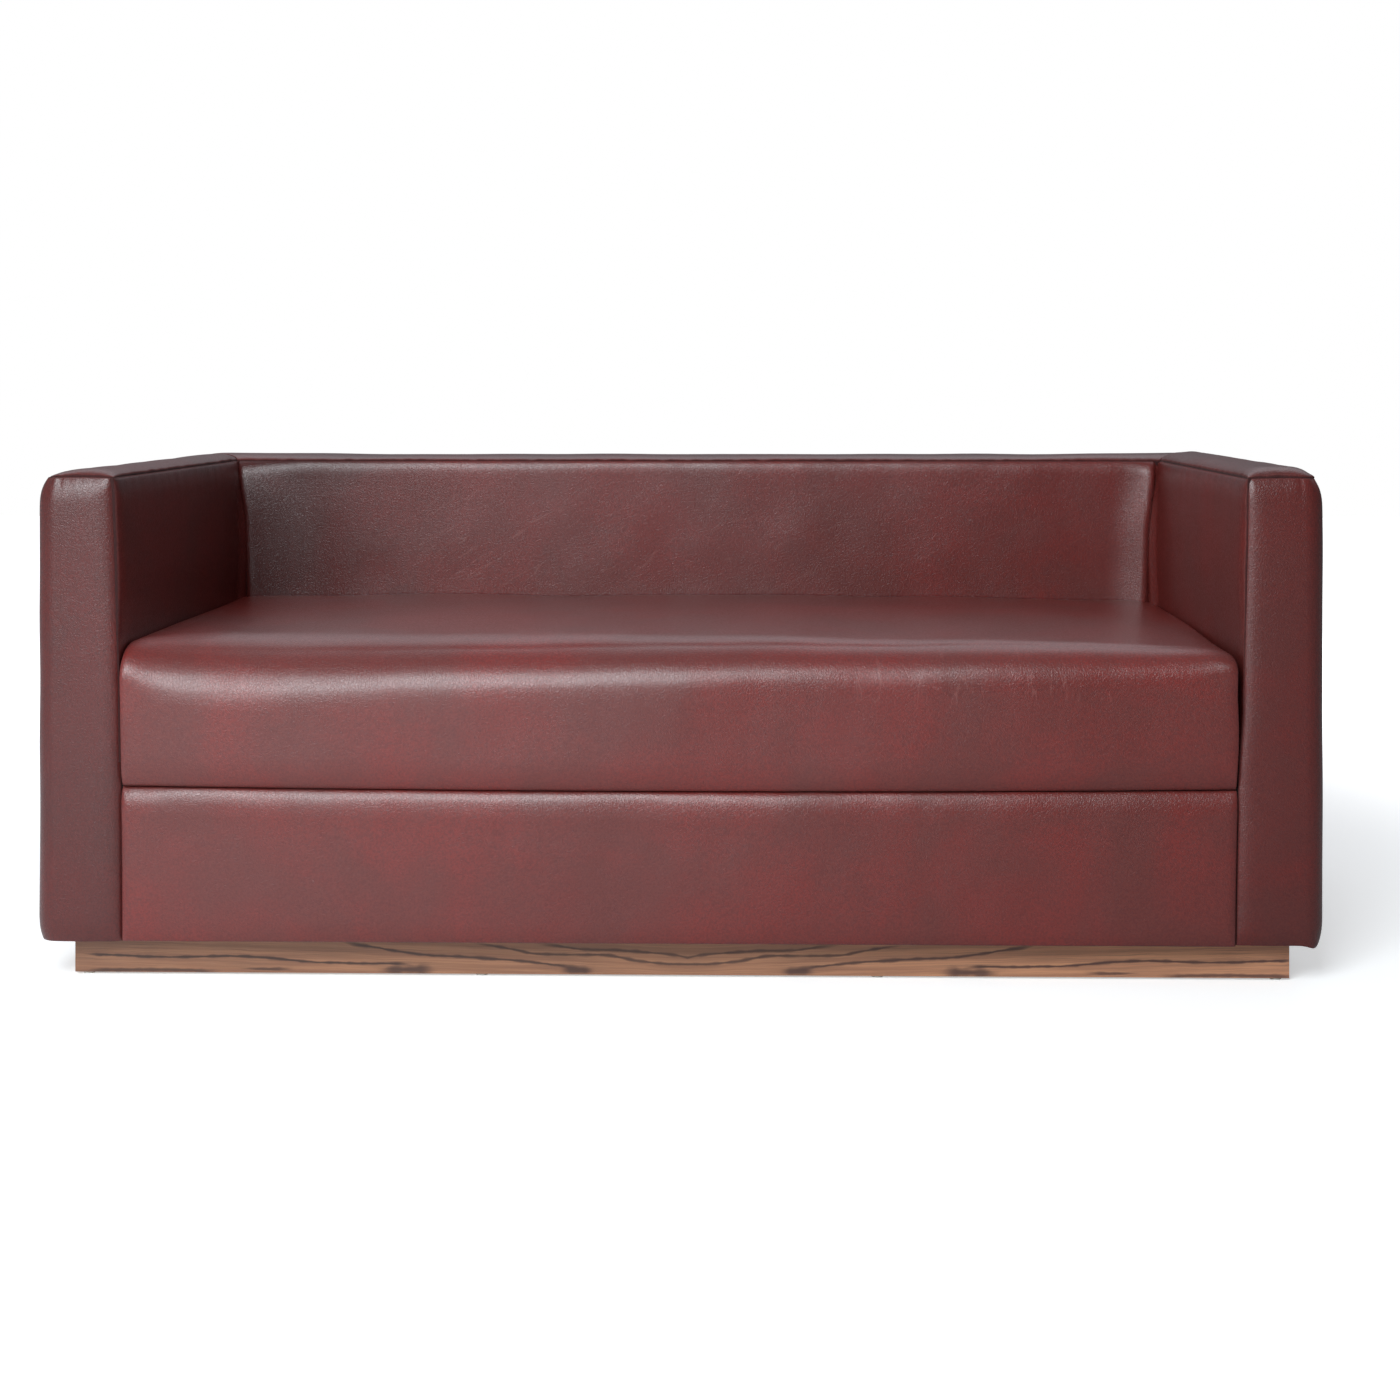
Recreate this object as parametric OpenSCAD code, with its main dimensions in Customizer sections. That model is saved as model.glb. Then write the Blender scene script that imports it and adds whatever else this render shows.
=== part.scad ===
// Two-seat sofa: square arms as high as the back, one fixed bench seat, smooth leather, veneered plinth.
// X runs along the width, the front looks towards -Y, Z is up, and the origin is on the floor
// under the middle of the sofa.

/* [Overall] */
// Width over the two arms
sofa_w = 1750; // [1300:10:2400]
// Depth from the front of the seat to the outside of the back
sofa_d = 760; // [640:5:950]
// Height of the seams that edge the top bands
seam_h = 690; // [620:5:820]
// Height of the underside of the upholstery
base_h = 57; // [40:1:110]

/* [Arms] */
// Width of an arm at its top seams
arm_top_w = 101; // [85:1:160]
// Width of an arm at its foot
arm_foot_w = 113; // [101:1:180]
// Radius of the upright outer edge at the front of an arm
arm_edge_r = 26; // [16:1:40]
// Foam on the inner side of an arm, at the top
arm_pad_t = 13; // [6:1:20]
// Foam on the front of an arm
front_pad_t = 10; // [9:1:20]

/* [Back] */
// Thickness of the back at its top seams
back_t = 144; // [120:2:200]
// Foam on the front of the back
back_pad_t = 45; // [20:1:60]
// How far the padded face stands in front of its top seam
back_rise = 9; // [3:1:14]

/* [Top bands] */
// Foam on top of the frame
top_pad_t = 15; // [8:1:25]
// Rise of an arm's top band between its seams
arm_crown = 12; // [4:1:18]
// Rise of the back's top band at the middle of the sofa
back_crown = 9; // [4:1:18]
// How far the covers are drawn in at the top seams
top_draw = 8; // [3:1:8]
// Height over which the covers are drawn in at the top seams
top_roll = 26; // [16:1:40]

/* [Seat] */
// Height of the seat's top beside the arms
seat_h = 456; // [400:2:520]
// Height of the seam between the seat and the front border
joint_h = 266; // [220:2:330]
// Rise of the seat's top at the middle
seat_crown = 14; // [4:1:30]
// Radius of the seat's upper front edge
seat_edge_r = 46; // [25:1:70]
// How far the seat stands in front of the arms
seat_proud = 6; // [2:1:15]
// How far the seat's cover is drawn down beside the arms
seat_draw = 10; // [4:1:20]
// Width over which the seat's cover is drawn down
seat_roll = 34; // [15:1:60]

/* [Covers] */
// Thickness of the leather
leather_t = 1.5; // [1:0.1:2.5]
// Wadding on the outer sides and the outside of the back
wad_t = 10; // [9:0.5:14]
// How far a face stands in front of the seam beside it
seam_set = 4; // [2:0.5:6]
// Width over which a face rolls in to a seam
seam_roll = 14; // [8:1:24]
// How far the outer covers are drawn in at the foot
foot_draw = 8; // [2:1:8]
// Height over which the outer covers are drawn in at the foot
foot_roll = 36; // [16:1:50]
// Swell of the inner side of an arm above the seat
inner_rise = 3; // [1:0.5:6]
// Swell of the front border
border_rise = 5; // [2:0.5:8]
// Length of cover tucked in behind the face of the back
tuck = 30; // [15:1:40]

/* [Frame] */
// Thickness of the frame's timber
timber_t = 25; // [20:1:35]
// Width of the lower rails, which lie flat
rail_w = 50; // [40:1:70]
// Height of the side, back and arm rails that carry the seat
seat_rail_h = 100; // [70:5:130]
// Hardboard linings
board_t = 3; // [2:0.5:5]
// Number of upright stiles in the back
stile_count = 4; // [2:1:6]
// Number of rails from front to back inside the seat frame
cross_rail_count = 2; // [1:1:4]
// Number of rails from front to back in the floor of the frame
floor_rail_count = 4; // [2:1:6]
// Legs of the three-sided blocks glued into the seat frame's corners
block_leg = 70; // [40:5:100]
// Height of those blocks
block_h = 60; // [30:5:80]

/* [Springs] */
// Number of zigzag springs under the seat
spring_count = 7; // [4:1:10]
// Thickness of the spring wire
wire_t = 3.8; // [3:0.1:4.5]
// Distance from one bar of a spring to the next
loop_pitch = 26; // [20:1:35]
// Length of the straight part of a spring's bar
loop_bar = 22; // [14:1:34]
// Length of a spring clip
clip_w = 30; // [20:1:34]
// Thickness of the clip's sheet steel
clip_t = 1; // [0.8:0.1:1.5]
// Thickness of the wires that tie the springs to each other
tie_t = 3; // [2:0.5:4]
// Number of those wires
tie_count = 2; // [1:1:4]
// Thickness of the felt over the springs
felt_t = 3; // [2:0.5:6]

/* [Plinth] */
// How far the plinth stands back from the arms' outer faces and fronts
recess = 37; // [20:1:80]
// Thickness of the plinth's boards
plinth_t = 18; // [15:1:25]
// Thickness of the veneer leaves
veneer_t = 1; // [0.6:0.1:1.5]
// How far the meeting line of the two front leaves lies to the right of the middle
match_shift = 12; // [-40:1:40]
// Number of bearers across the plinth
bearer_count = 3; // [1:1:5]
// Air between a bearer's or block's underside and the floor
bearer_lift = 14; // [8:1:25]
// Thickness of the glides
glide_t = 3; // [2:0.5:6]
// Diameter of the glides
glide_d = 16; // [10:1:18]
// Number of glides along the front, and again along the back
glide_count = 4; // [2:1:6]
// Thickness of the cloth under the frame
dust_t = 1; // [0.5:0.1:1.5]
// How far that cloth stays back from the frame's outer edges
dust_hem = 12; // [6:1:30]

/* [Fasteners] */
// Diameter of the coach screws through the seat's side rails
coach_d = 8; // [6:1:10]
// Width across the corners of a coach screw's head
coach_head_d = 15; // [12:1:18]
// Height of a coach screw's head
coach_head_h = 5.5; // [4:0.5:7]
// Length of a coach screw's shank
coach_l = 44; // [35:1:46]
// Diameter of the washers
washer_d = 22; // [18:1:26]
// Thickness of the washers
washer_t = 1.6; // [1:0.1:2.5]
// Number of coach screws on each side
coach_count = 3; // [2:1:5]
// Diameter of the screws that hold the plinth
screw_d = 5; // [4:0.5:6]
// Diameter of those screws' heads
screw_head_d = 10; // [8:0.5:12]
// Height of those screws' heads
screw_head_h = 3; // [2:0.5:4]
// How far those screws enter the frame
screw_bite = 20; // [12:1:24]

/* [Hidden] */
// Gap between soft pieces that lie against each other
gap = 0.3;
// Gap round a shank in its drilled hole
drill_gap = 0.1;
// How far a cut runs past the faces that it opens
overrun = 1;
// Steps over a rolled edge, along a long face and across a short one
roll_steps = 3;
long_steps = 6;
short_steps = 2;
// Steps round the arm's outer edge and round a spring's bend
edge_steps = 4;
bend_steps = 4;
// Share of a top band's width over which it rises from a seam, and of its length left to its ends
crown_share = 0.3;
end_share = 0.1;
// Share of the seat's depth over which its top rises from the front, and how much it falls again
seat_rise_share = 0.5;
seat_fall_share = 0.4;

// Planes and heights that several pieces share
half_w = sofa_w / 2;
y_front = -sofa_d / 2 + seat_proud;
y_rear = sofa_d / 2;
y_back = y_rear - back_t;
top_x = half_w - arm_top_w;
core_out = half_w - leather_t - wad_t - board_t;
core_in = half_w - arm_top_w + leather_t + arm_pad_t + board_t;
lined_x = core_out + board_t;
post_bevel = arm_edge_r / 2;
core_front = y_front + leather_t + front_pad_t;
core_rear = y_rear - leather_t - wad_t - board_t;
core_back = y_back + leather_t + back_pad_t + board_t;
core_top = seam_h - leather_t - top_pad_t;
cover_top = seam_h - leather_t - gap;
frame_back = core_front + timber_t;
felt_h = joint_h - felt_t - gap;
clip_h = 2 * clip_t + wire_t;
deck_h = felt_h - gap - clip_h;
plinth_x = half_w - recess;
plinth_y = y_front + recess;
plinth_rear = y_rear - recess;
plinth_h = base_h - dust_t;
board_x = plinth_x - veneer_t;
board_y = plinth_y + veneer_t;
board_rear = plinth_rear - veneer_t;
block_plinth_leg = 2 * plinth_t + screw_d;
screw_x = board_x - plinth_t - screw_head_d;
screw_y = plinth_t + screw_head_d;

// Colours
leather_colour = [0.43, 0.2, 0.2];
veneer_colour = [0.56, 0.42, 0.34];
timber_colour = [0.82, 0.68, 0.47];
board_colour = [0.5, 0.36, 0.24];
foam_colour = [0.93, 0.89, 0.72];
steel_colour = [0.62, 0.63, 0.65];
cloth_colour = [0.13, 0.13, 0.14];
nylon_colour = [0.2, 0.2, 0.2];

// Places along a length: close together where an edge rolls over, wider between
function rolled_stops(length, roll, mid) = concat(
    [for (k = [0 : roll_steps]) roll * (1 - cos(90 * k / roll_steps))],
    [for (k = [1 : 1 : mid - 1]) roll + (length - 2 * roll) * k / mid],
    [for (k = [roll_steps : -1 : 0]) length - roll * (1 - cos(90 * k / roll_steps))]
);

// Quarter round from 0 at an edge to 1 at the given distance from it
function rise(distance, roll) =
    distance >= roll ? 1 : sqrt(max(0, 1 - pow(1 - distance / roll, 2)));

function mix(a, b, share) = a + (b - a) * share;
function quad(a, b, c, d) = [[a, b, c], [a, c, d]];
function flat(lists) = [for (list = lists) each list];

// Place k of count along a length that is centred on zero, with equal bays at both ends
function bay(k, count, length) = length * ((k + 0.5) / count - 0.5);

// Inner face of an arm, which leans out towards the top
function arm_in(z) = half_w - mix(arm_foot_w, arm_top_w, (z - base_h) / (seam_h - base_h));

// How far the outer covers are drawn in at a height
function draw_in(z) =
    top_draw * (1 - rise(cover_top - z, top_roll)) + foot_draw * (1 - rise(z - base_h, foot_roll));

// A sheet between two grids of points, the outer one first
module sheet(outer, under) {
    n = len(outer) - 1;
    m = len(outer[0]) - 1;
    count = (n + 1) * (m + 1);
    function at(i, j) = i * (m + 1) + j;
    function low(i, j) = count + at(i, j);
    polyhedron(
        points = concat(flat(outer), flat(under)),
        faces = flat(concat(
            [for (i = [0 : n - 1], j = [0 : m - 1])
                quad(at(i, j), at(i, j + 1), at(i + 1, j + 1), at(i + 1, j))],
            [for (i = [0 : n - 1], j = [0 : m - 1])
                quad(low(i, j), low(i + 1, j), low(i + 1, j + 1), low(i, j + 1))],
            [for (i = [0 : n - 1]) quad(at(i, 0), at(i + 1, 0), low(i + 1, 0), low(i, 0))],
            [for (i = [0 : n - 1]) quad(at(i, m), low(i, m), low(i + 1, m), at(i + 1, m))],
            [for (j = [0 : m - 1]) quad(low(0, j + 1), at(0, j + 1), at(0, j), low(0, j))],
            [for (j = [0 : m - 1]) quad(low(n, j), at(n, j), at(n, j + 1), low(n, j + 1))]
        )),
        convexity = 4
    );
}

// A pad: a grid of points on top, and for each of its rows the two ends of a straight line below
module pad(top, base) {
    n = len(top) - 1;
    m = len(top[0]) - 1;
    count = (n + 1) * (m + 1);
    function at(i, j) = i * (m + 1) + j;
    function foot(i, end) = count + 2 * i + end;
    polyhedron(
        points = concat(flat(top), flat(base)),
        faces = concat(
            flat([for (i = [0 : n - 1], j = [0 : m - 1])
                quad(at(i, j), at(i, j + 1), at(i + 1, j + 1), at(i + 1, j))]),
            flat([for (i = [0 : n - 1]) quad(at(i, 0), at(i + 1, 0), foot(i + 1, 0), foot(i, 0))]),
            flat([for (i = [0 : n - 1]) quad(at(i, m), foot(i, 1), foot(i + 1, 1), at(i + 1, m))]),
            flat([for (i = [0 : n - 1])
                quad(foot(i, 0), foot(i + 1, 0), foot(i + 1, 1), foot(i, 1))]),
            [for (j = [0 : m - 1]) [foot(0, 1), at(0, j + 1), at(0, j)]],
            [for (j = [0 : m - 1]) [foot(n, 1), at(n, j), at(n, j + 1)]],
            [[foot(0, 1), at(0, 0), foot(0, 0)], [foot(n, 1), foot(n, 0), at(n, 0)]]
        ),
        convexity = 4
    );
}

// A board between two corners
module board(low, high) {
    translate(low)
        cube(high - low);
}

// The same thing on the other side of the sofa
module other_side() {
    mirror([1, 0, 0])
        children();
}

module both_sides() {
    children();
    other_side()
        children();
}

// Arm, outer cover: one piece of leather across the front, round the outer edge and along the side.
// A point's depth is how far it lies under the leather's outer face.
function wrap_path(z, depth, inset) =
    let (
        d = depth + draw_in(z),
        x0 = arm_in(z) + inset,
        x1 = half_w - arm_edge_r,
        y1 = y_front + arm_edge_r,
        y2 = y_rear - max(seam_set, draw_in(z)) - leather_t - gap - inset
    )
    concat(
        [for (k = [0 : roll_steps]) let (s = seam_roll * (1 - cos(90 * k / roll_steps)))
            [x0 + s, y_front + depth + max(draw_in(z), seam_set * (1 - rise(s, seam_roll)))]],
        [for (k = [1 : 1 : short_steps - 1]) [mix(x0 + seam_roll, x1, k / short_steps), y_front + d]],
        [for (k = [0 : edge_steps]) let (a = 90 * k / edge_steps)
            [x1 + (arm_edge_r - d) * sin(a), y1 - (arm_edge_r - d) * cos(a)]],
        [for (k = [1 : 1 : short_steps]) [half_w - d, mix(y1, y2 - seam_roll, k / short_steps)]],
        [for (k = [roll_steps - 1 : -1 : 0]) let (s = seam_roll * (1 - cos(90 * k / roll_steps)))
            [half_w - depth - max(draw_in(z), seam_set * (1 - rise(s, seam_roll))), y2 - s]]
    );

wrap_rise = cover_top - base_h;
wrap_stops = concat(
    [for (k = [0 : roll_steps]) foot_roll * (1 - cos(90 * k / roll_steps))],
    [(wrap_rise + foot_roll - top_roll) / 2],
    [for (k = [roll_steps : -1 : 0]) wrap_rise - top_roll * (1 - cos(90 * k / roll_steps))]
);

// Turns a list of rows into a list of columns
function turned(rows) = [for (j = [0 : len(rows[0]) - 1]) [for (row = rows) row[j]]];
function wrap_grid(depth, inset, heights) =
    turned([for (z = heights) [for (p = wrap_path(z, depth, inset)) [p.x, p.y, z]]]);

module arm_outer_cover() {
    heights = [for (s = wrap_stops) base_h + s];
    color(leather_colour)
        sheet(wrap_grid(0, 0, heights), wrap_grid(leather_t, 0, heights));
}

// The same path on the frame: along the front post, over its bevel and along the outer board
function core_path(z, inset) =
    let (path = wrap_path(z, 0, inset), first = roll_steps + short_steps)
    [for (k = [0 : len(path) - 1])
        let (share = (k - first) / edge_steps)
        share < 0 ? [path[k].x, core_front]
        : share > 1 ? [lined_x, path[k].y]
        : [lined_x - post_bevel * (1 - share), core_front + post_bevel * share]];

// Wadding under that cover, against the front post and the outer board
module arm_outer_wadding() {
    reach = (core_top - base_h) / wrap_rise;
    inset = leather_t + 2 * gap;
    color(foam_colour)
        pad(
            wrap_grid(inset, inset, [for (s = wrap_stops) base_h + s * reach]),
            turned([for (z = [base_h, core_top]) [for (p = core_path(z, inset)) [p.x, p.y, z]]])
        );
}

// Arm, inner cover: from the seat frame up to the top seam, and from the front seam to the back's face.
// A lower tail of it is tucked in behind that face.
tail_share = (core_top - gap - joint_h) / (cover_top - joint_h);

function inner_stops(top) =
    concat([joint_h], [for (s = rolled_stops(top - seat_h, top_roll, short_steps)) seat_h + s]);
function inner_front(z) = y_front + max(seam_set, draw_in(z)) + leather_t + gap;

function inner_point(y, z, depth) =
    let (swell = rise(max(0, y - inner_front(z)), seam_roll) * rise(max(0, y_back - y), seam_roll)
        * rise(max(0, z - seat_h), top_roll) * rise(cover_top - z, top_roll))
    [arm_in(z) + depth - inner_rise * swell, y, z];

function inner_grid(depth) =
    [for (z = inner_stops(cover_top)) let (y0 = inner_front(z)) concat(
        [for (s = rolled_stops(y_back - y0, seam_roll, long_steps)) inner_point(y0 + s, z, depth)],
        [for (y = [y_back + seam_set, y_back + tuck])
            inner_point(y, joint_h + (z - joint_h) * tail_share, depth)]
    )];

module arm_inner_cover() {
    color(leather_colour)
        sheet(inner_grid(0), inner_grid(leather_t));
}

module arm_inner_foam() {
    y0 = core_front + gap;
    top = [for (z = inner_stops(core_top - gap))
        [for (s = rolled_stops(y_back + tuck - y0, seam_roll, long_steps))
            inner_point(y0 + s, z, leather_t + 2 * gap)]];
    base = [for (row = top) [for (p = [row[0], row[len(row) - 1]]) [core_in - board_t, p.y, p.z]]];
    color(foam_colour)
        pad(top, base);
}

// Top bands: strips with a low crown, cut at a mitre where the arms meet the back.
// Across is 0 at the inner seam and 1 at the outer one.
band_x1 = half_w - top_draw;
band_y0 = y_front + top_draw;
band_y1 = y_rear - top_draw;
band_corner_r = arm_edge_r - top_draw;
band_steps = 2 * roll_steps + short_steps;
band_shares = [for (k = [0 : band_steps]) (1 - cos(180 * k / band_steps)) / 2];
long_shares = rolled_stops(1, end_share, long_steps);
foam_inset = leather_t + seam_set + gap;

function crown(across, height) = height * rise(across, crown_share) * rise(1 - across, crown_share);

// A point of the arm's band, set in from its edges and down from its face
function arm_band_point(across, along, depth, inset) =
    let (
        x = mix(top_x + inset, band_x1 - inset, across),
        y0 = band_y0 + inset + band_corner_r * (1 - rise(band_x1 - inset - x, band_corner_r)),
        y1 = mix(y_back, band_y1 - inset, across) - inset,
        front_round = rise((y1 - y0) * along, top_roll)
    )
    [x, mix(y0, y1, along), seam_h - depth + crown(across, arm_crown) * front_round];

function back_band_point(across, along, depth, inset) =
    let (
        x = mix(top_x, band_x1 - inset, across) - gap - inset,
        y = mix(y_back + inset, band_y1 - inset, across),
        middle = mix(back_crown, arm_crown, pow(abs(2 * along - 1), 2))
    )
    [x * (2 * along - 1), y, seam_h - depth + crown(across, middle)];

function arm_band_grid(depth, inset) =
    [for (a = band_shares) [for (l = long_shares) arm_band_point(a, l, depth, inset)]];
function back_band_grid(depth, inset) =
    [for (l = long_shares) [for (a = band_shares) back_band_point(a, l, depth, inset)]];
function band_base(top) =
    [for (row = top) [for (p = [row[0], row[len(row) - 1]]) [p.x, p.y, core_top]]];

module arm_top_band() {
    color(leather_colour)
        sheet(arm_band_grid(0, 0), arm_band_grid(leather_t, 0));
}

module arm_top_foam() {
    top = arm_band_grid(leather_t + gap, foam_inset);
    color(foam_colour)
        pad(top, band_base(top));
}

module back_top_band() {
    color(leather_colour)
        sheet(back_band_grid(0, 0), back_band_grid(leather_t, 0));
}

module back_top_foam() {
    top = back_band_grid(leather_t + gap, foam_inset);
    color(foam_colour)
        pad(top, band_base(top));
}

// Back, inner cover: a padded face whose top and upright edges roll back to the seams
face_stops = rolled_stops(cover_top - joint_h, top_roll, short_steps);

function face_grid(depth, inset, heights) =
    turned([for (z = heights)
        let (hw = arm_in(z) - gap - inner_rise - inset)
        [for (s = rolled_stops(2 * hw, top_roll, long_steps)) [
            s - hw,
            y_back + depth + seam_set - (back_rise + seam_set) * rise(min(s, 2 * hw - s), top_roll)
                * rise(cover_top - z, top_roll),
            z
        ]]]);

module back_inner_cover() {
    heights = [for (s = face_stops) joint_h + s];
    color(leather_colour)
        sheet(face_grid(0, 0, heights), face_grid(leather_t, 0, heights));
}

module back_foam() {
    heights = [for (s = face_stops) joint_h + s * tail_share];
    top = face_grid(leather_t + 2 * gap, gap, heights);
    base = [for (row = top) [for (p = [row[0], row[len(row) - 1]]) [p.x, core_back - board_t, p.z]]];
    color(foam_colour)
        pad(top, base);
}

// Back, outer cover: the full width of the sofa, over the rear ends of the side covers
function outer_grid(depth, inset, heights) =
    [for (z = heights)
        let (half = half_w - max(seam_set, draw_in(z)) - inset)
        [for (s = rolled_stops(2 * half, seam_roll, long_steps)) [
            s - half,
            y_rear - depth - max(draw_in(z), seam_set * (1 - rise(min(s, 2 * half - s), seam_roll))),
            z
        ]]];

module back_outer_cover() {
    heights = [for (s = wrap_stops) base_h + s];
    color(leather_colour)
        sheet(outer_grid(0, 0, heights), outer_grid(leather_t, 0, heights));
}

module back_outer_wadding() {
    reach = (core_top - base_h) / wrap_rise;
    heights = [for (s = wrap_stops) base_h + s * reach];
    top = outer_grid(leather_t + 2 * gap, wad_t + leather_t, heights);
    base = [for (row = top) [for (p = [row[0], row[len(row) - 1]]) [p.x, core_rear + board_t, p.z]]];
    color(foam_colour)
        pad(top, base);
}

// Seat cover: up the front from the joint, over the rounded edge and back to the back's face.
// A profile point holds its place and the direction that it faces.
seat_front = -sofa_d / 2;
seat_back = y_back - back_rise - gap;
seat_depth = seat_back - seat_front - seat_edge_r;
function seat_profile() = concat(
    [for (k = [0 : roll_steps]) let (s = seam_roll * (1 - cos(90 * k / roll_steps)))
        [seat_front + (seat_proud + seam_set) * (1 - rise(s, seam_roll)), joint_h + gap + s, -1, 0]],
    [[seat_front, (joint_h + seam_roll + seat_h - seat_edge_r) / 2, -1, 0]],
    [for (k = [0 : edge_steps]) let (a = 90 * k / edge_steps)
        [seat_front + seat_edge_r * (1 - cos(a)), seat_h - seat_edge_r * (1 - sin(a)), -cos(a), sin(a)]],
    [for (k = [1 : long_steps]) [seat_front + seat_edge_r + seat_depth * k / long_steps, seat_h, 0, 1]]
);

// Rise of the seat's top over its edge height, most at the middle
function seat_swell(x, y, hw) =
    let (back_share = max(0, (y - seat_front - seat_edge_r) / seat_depth))
    seat_crown * (1 - pow(abs(x / hw), 3)) * rise(back_share, seat_rise_share)
    * (1 - seat_fall_share * pow(back_share, 3));

function seat_grid(depth, inset) =
    [for (s = rolled_stops(1, seat_roll / (2 * top_x), long_steps))
        [for (p = seat_profile()) let (
            hw = arm_in(p[1]) - gap - inset,
            x = mix(-hw, hw, s),
            d = depth + seat_draw * (1 - rise(hw - abs(x), seat_roll))
        ) [x, p[0] - p[2] * d, p[1] - p[3] * d + seat_swell(x, p[0], hw)]]];

module seat_cover() {
    color(leather_colour)
        sheet(seat_grid(0, 0), seat_grid(leather_t, 0));
}

module seat_foam() {
    top = seat_grid(leather_t + gap, gap);
    base = [for (row = top) [
        [row[0].x, row[0].y + leather_t, joint_h],
        [row[0].x, seat_back - leather_t, joint_h]
    ]];
    color(foam_colour)
        pad(top, base);
}

// Front border under the seat
border_stops = rolled_stops(joint_h - gap - base_h, seam_roll, short_steps);

function border_grid(depth, inset, heights) =
    turned([for (z = heights)
        let (hw = arm_in(z) - gap - inset)
        [for (s = rolled_stops(2 * hw, seam_roll, long_steps)) [
            s - hw,
            y_front + depth + seam_set - border_rise * rise(min(s, 2 * hw - s), seam_roll)
                * rise(joint_h - gap - z, seam_roll),
            z
        ]]]);

module border_cover() {
    heights = [for (s = border_stops) base_h + s];
    color(leather_colour)
        sheet(border_grid(0, 0, heights), border_grid(leather_t, 0, heights));
}

module border_foam() {
    reach = 1 - leather_t / (joint_h - gap - base_h);
    heights = [for (s = border_stops) base_h + s * reach];
    top = border_grid(leather_t + gap, gap, heights);
    base = [for (row = top) [for (p = [row[0], row[len(row) - 1]]) [p.x, core_front, p.z]]];
    color(foam_colour)
        pad(top, base);
}

// Hardboard linings
module arm_outer_board() {
    color(board_colour)
        board([core_out, core_front + post_bevel, base_h], [lined_x, core_rear, core_top]);
}

module arm_inner_board() {
    color(board_colour)
        board([core_in - board_t, core_front, deck_h], [core_in, core_back - board_t, core_top]);
}

module back_inner_board() {
    x = core_in - board_t - gap;
    color(board_colour)
        board([-x, core_back - board_t, deck_h], [x, core_back, core_top]);
}

module back_outer_board() {
    color(board_colour)
        board([-lined_x, core_rear, base_h], [lined_x, core_rear + board_t, core_top]);
}

// Arm frame: posts at the front and the rear, three rails between them
coach_z = deck_h - seat_rail_h / 2;
rail_y1 = core_rear - timber_t;
seat_rail_y1 = core_back - timber_t;
function coach_y(k) = (frame_back + seat_rail_y1) / 2 + bay(k, coach_count, seat_rail_y1 - frame_back);

module coach_hole() {
    for (k = [0 : coach_count - 1])
        translate([core_in - timber_t - overrun, coach_y(k), coach_z])
            rotate([0, 90, 0])
                cylinder(d = coach_d + 2 * drill_gap, h = coach_l + overrun + drill_gap, $fn = 48);
}

module plinth_screw_places() {
    for (x = [-screw_x, screw_x], y = [board_y + screw_y, board_rear - screw_y])
        translate([x, y, 0])
            children();
}

module plinth_screw_hole() {
    plinth_screw_places()
        cylinder(d = screw_d + 2 * drill_gap, h = base_h + screw_bite + drill_gap, $fn = 32);
}

module arm_posts() {
    color(timber_colour) {
        translate([0, 0, base_h])
            linear_extrude(core_top - base_h)
                polygon([
                    [core_in, core_front],
                    [lined_x - post_bevel, core_front],
                    [core_out, core_front + post_bevel - board_t],
                    [core_out, frame_back],
                    [core_in, frame_back]
                ]);
        board([core_in, rail_y1, base_h], [core_out, core_rear, core_top]);
    }
}

module arm_rails() {
    color(timber_colour) {
        board([core_in, frame_back, core_top - timber_t], [core_out, rail_y1, core_top]);
        difference() {
            board([core_in, frame_back, deck_h - seat_rail_h], [core_in + timber_t, rail_y1, deck_h]);
            coach_hole();
        }
        difference() {
            board([core_in, frame_back, base_h], [core_in + rail_w, rail_y1, base_h + timber_t]);
            plinth_screw_hole();
        }
    }
}

// Back frame between the arms
module back_rails() {
    color(timber_colour) {
        board([-core_in, core_back, core_top - timber_t], [core_in, core_rear, core_top]);
        board([-core_in, core_rear - rail_w, base_h], [core_in, core_rear, base_h + timber_t]);
    }
}

module back_stiles() {
    spread = core_in - timber_t / 2;
    color(timber_colour)
        for (k = [0 : stile_count - 1])
            translate([mix(-spread, spread, k / (stile_count - 1)) - timber_t / 2, 0, 0])
                board([0, core_back, base_h + timber_t], [timber_t, core_rear, core_top - timber_t]);
}

// Seat frame
module seat_front_rail() {
    color(timber_colour)
        board([-core_in, core_front, base_h], [core_in, frame_back, deck_h]);
}

module seat_back_rail() {
    color(timber_colour)
        board([-core_in, seat_rail_y1, deck_h - seat_rail_h], [core_in, core_back, deck_h]);
}

module seat_side_rails() {
    z = deck_h - seat_rail_h;
    color(timber_colour)
        both_sides()
            difference() {
                board([core_in - timber_t, frame_back, z], [core_in, seat_rail_y1, deck_h]);
                coach_hole();
            }
}

module seat_cross_rails() {
    z = deck_h - seat_rail_h;
    color(timber_colour)
        for (k = [1 : cross_rail_count])
            translate([mix(-core_in, core_in, k / (cross_rail_count + 1)) - timber_t / 2, 0, 0])
                board([0, frame_back, z], [timber_t, seat_rail_y1, deck_h - seat_rail_h / 2]);
}

// A block with a right angle at its corner, running towards +X and +Y
module corner_block(leg, height) {
    linear_extrude(height)
        polygon([[0, 0], [leg, 0], [0, leg]]);
}

module seat_corner_blocks() {
    z = deck_h - seat_rail_h;
    color(timber_colour)
        both_sides() {
            translate([core_in - timber_t, frame_back, z])
                mirror([1, 0, 0])
                    corner_block(block_leg, block_h);
            translate([core_in - timber_t, seat_rail_y1, z])
                rotate([0, 0, 180])
                    corner_block(block_leg, block_h);
        }
}

module floor_rails() {
    color(timber_colour)
        for (k = [0 : floor_rail_count - 1])
            translate([bay(k, floor_rail_count, 2 * core_in) - rail_w / 2, 0, 0])
                board([0, frame_back, base_h], [rail_w, core_rear - rail_w, base_h + timber_t]);
}

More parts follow.
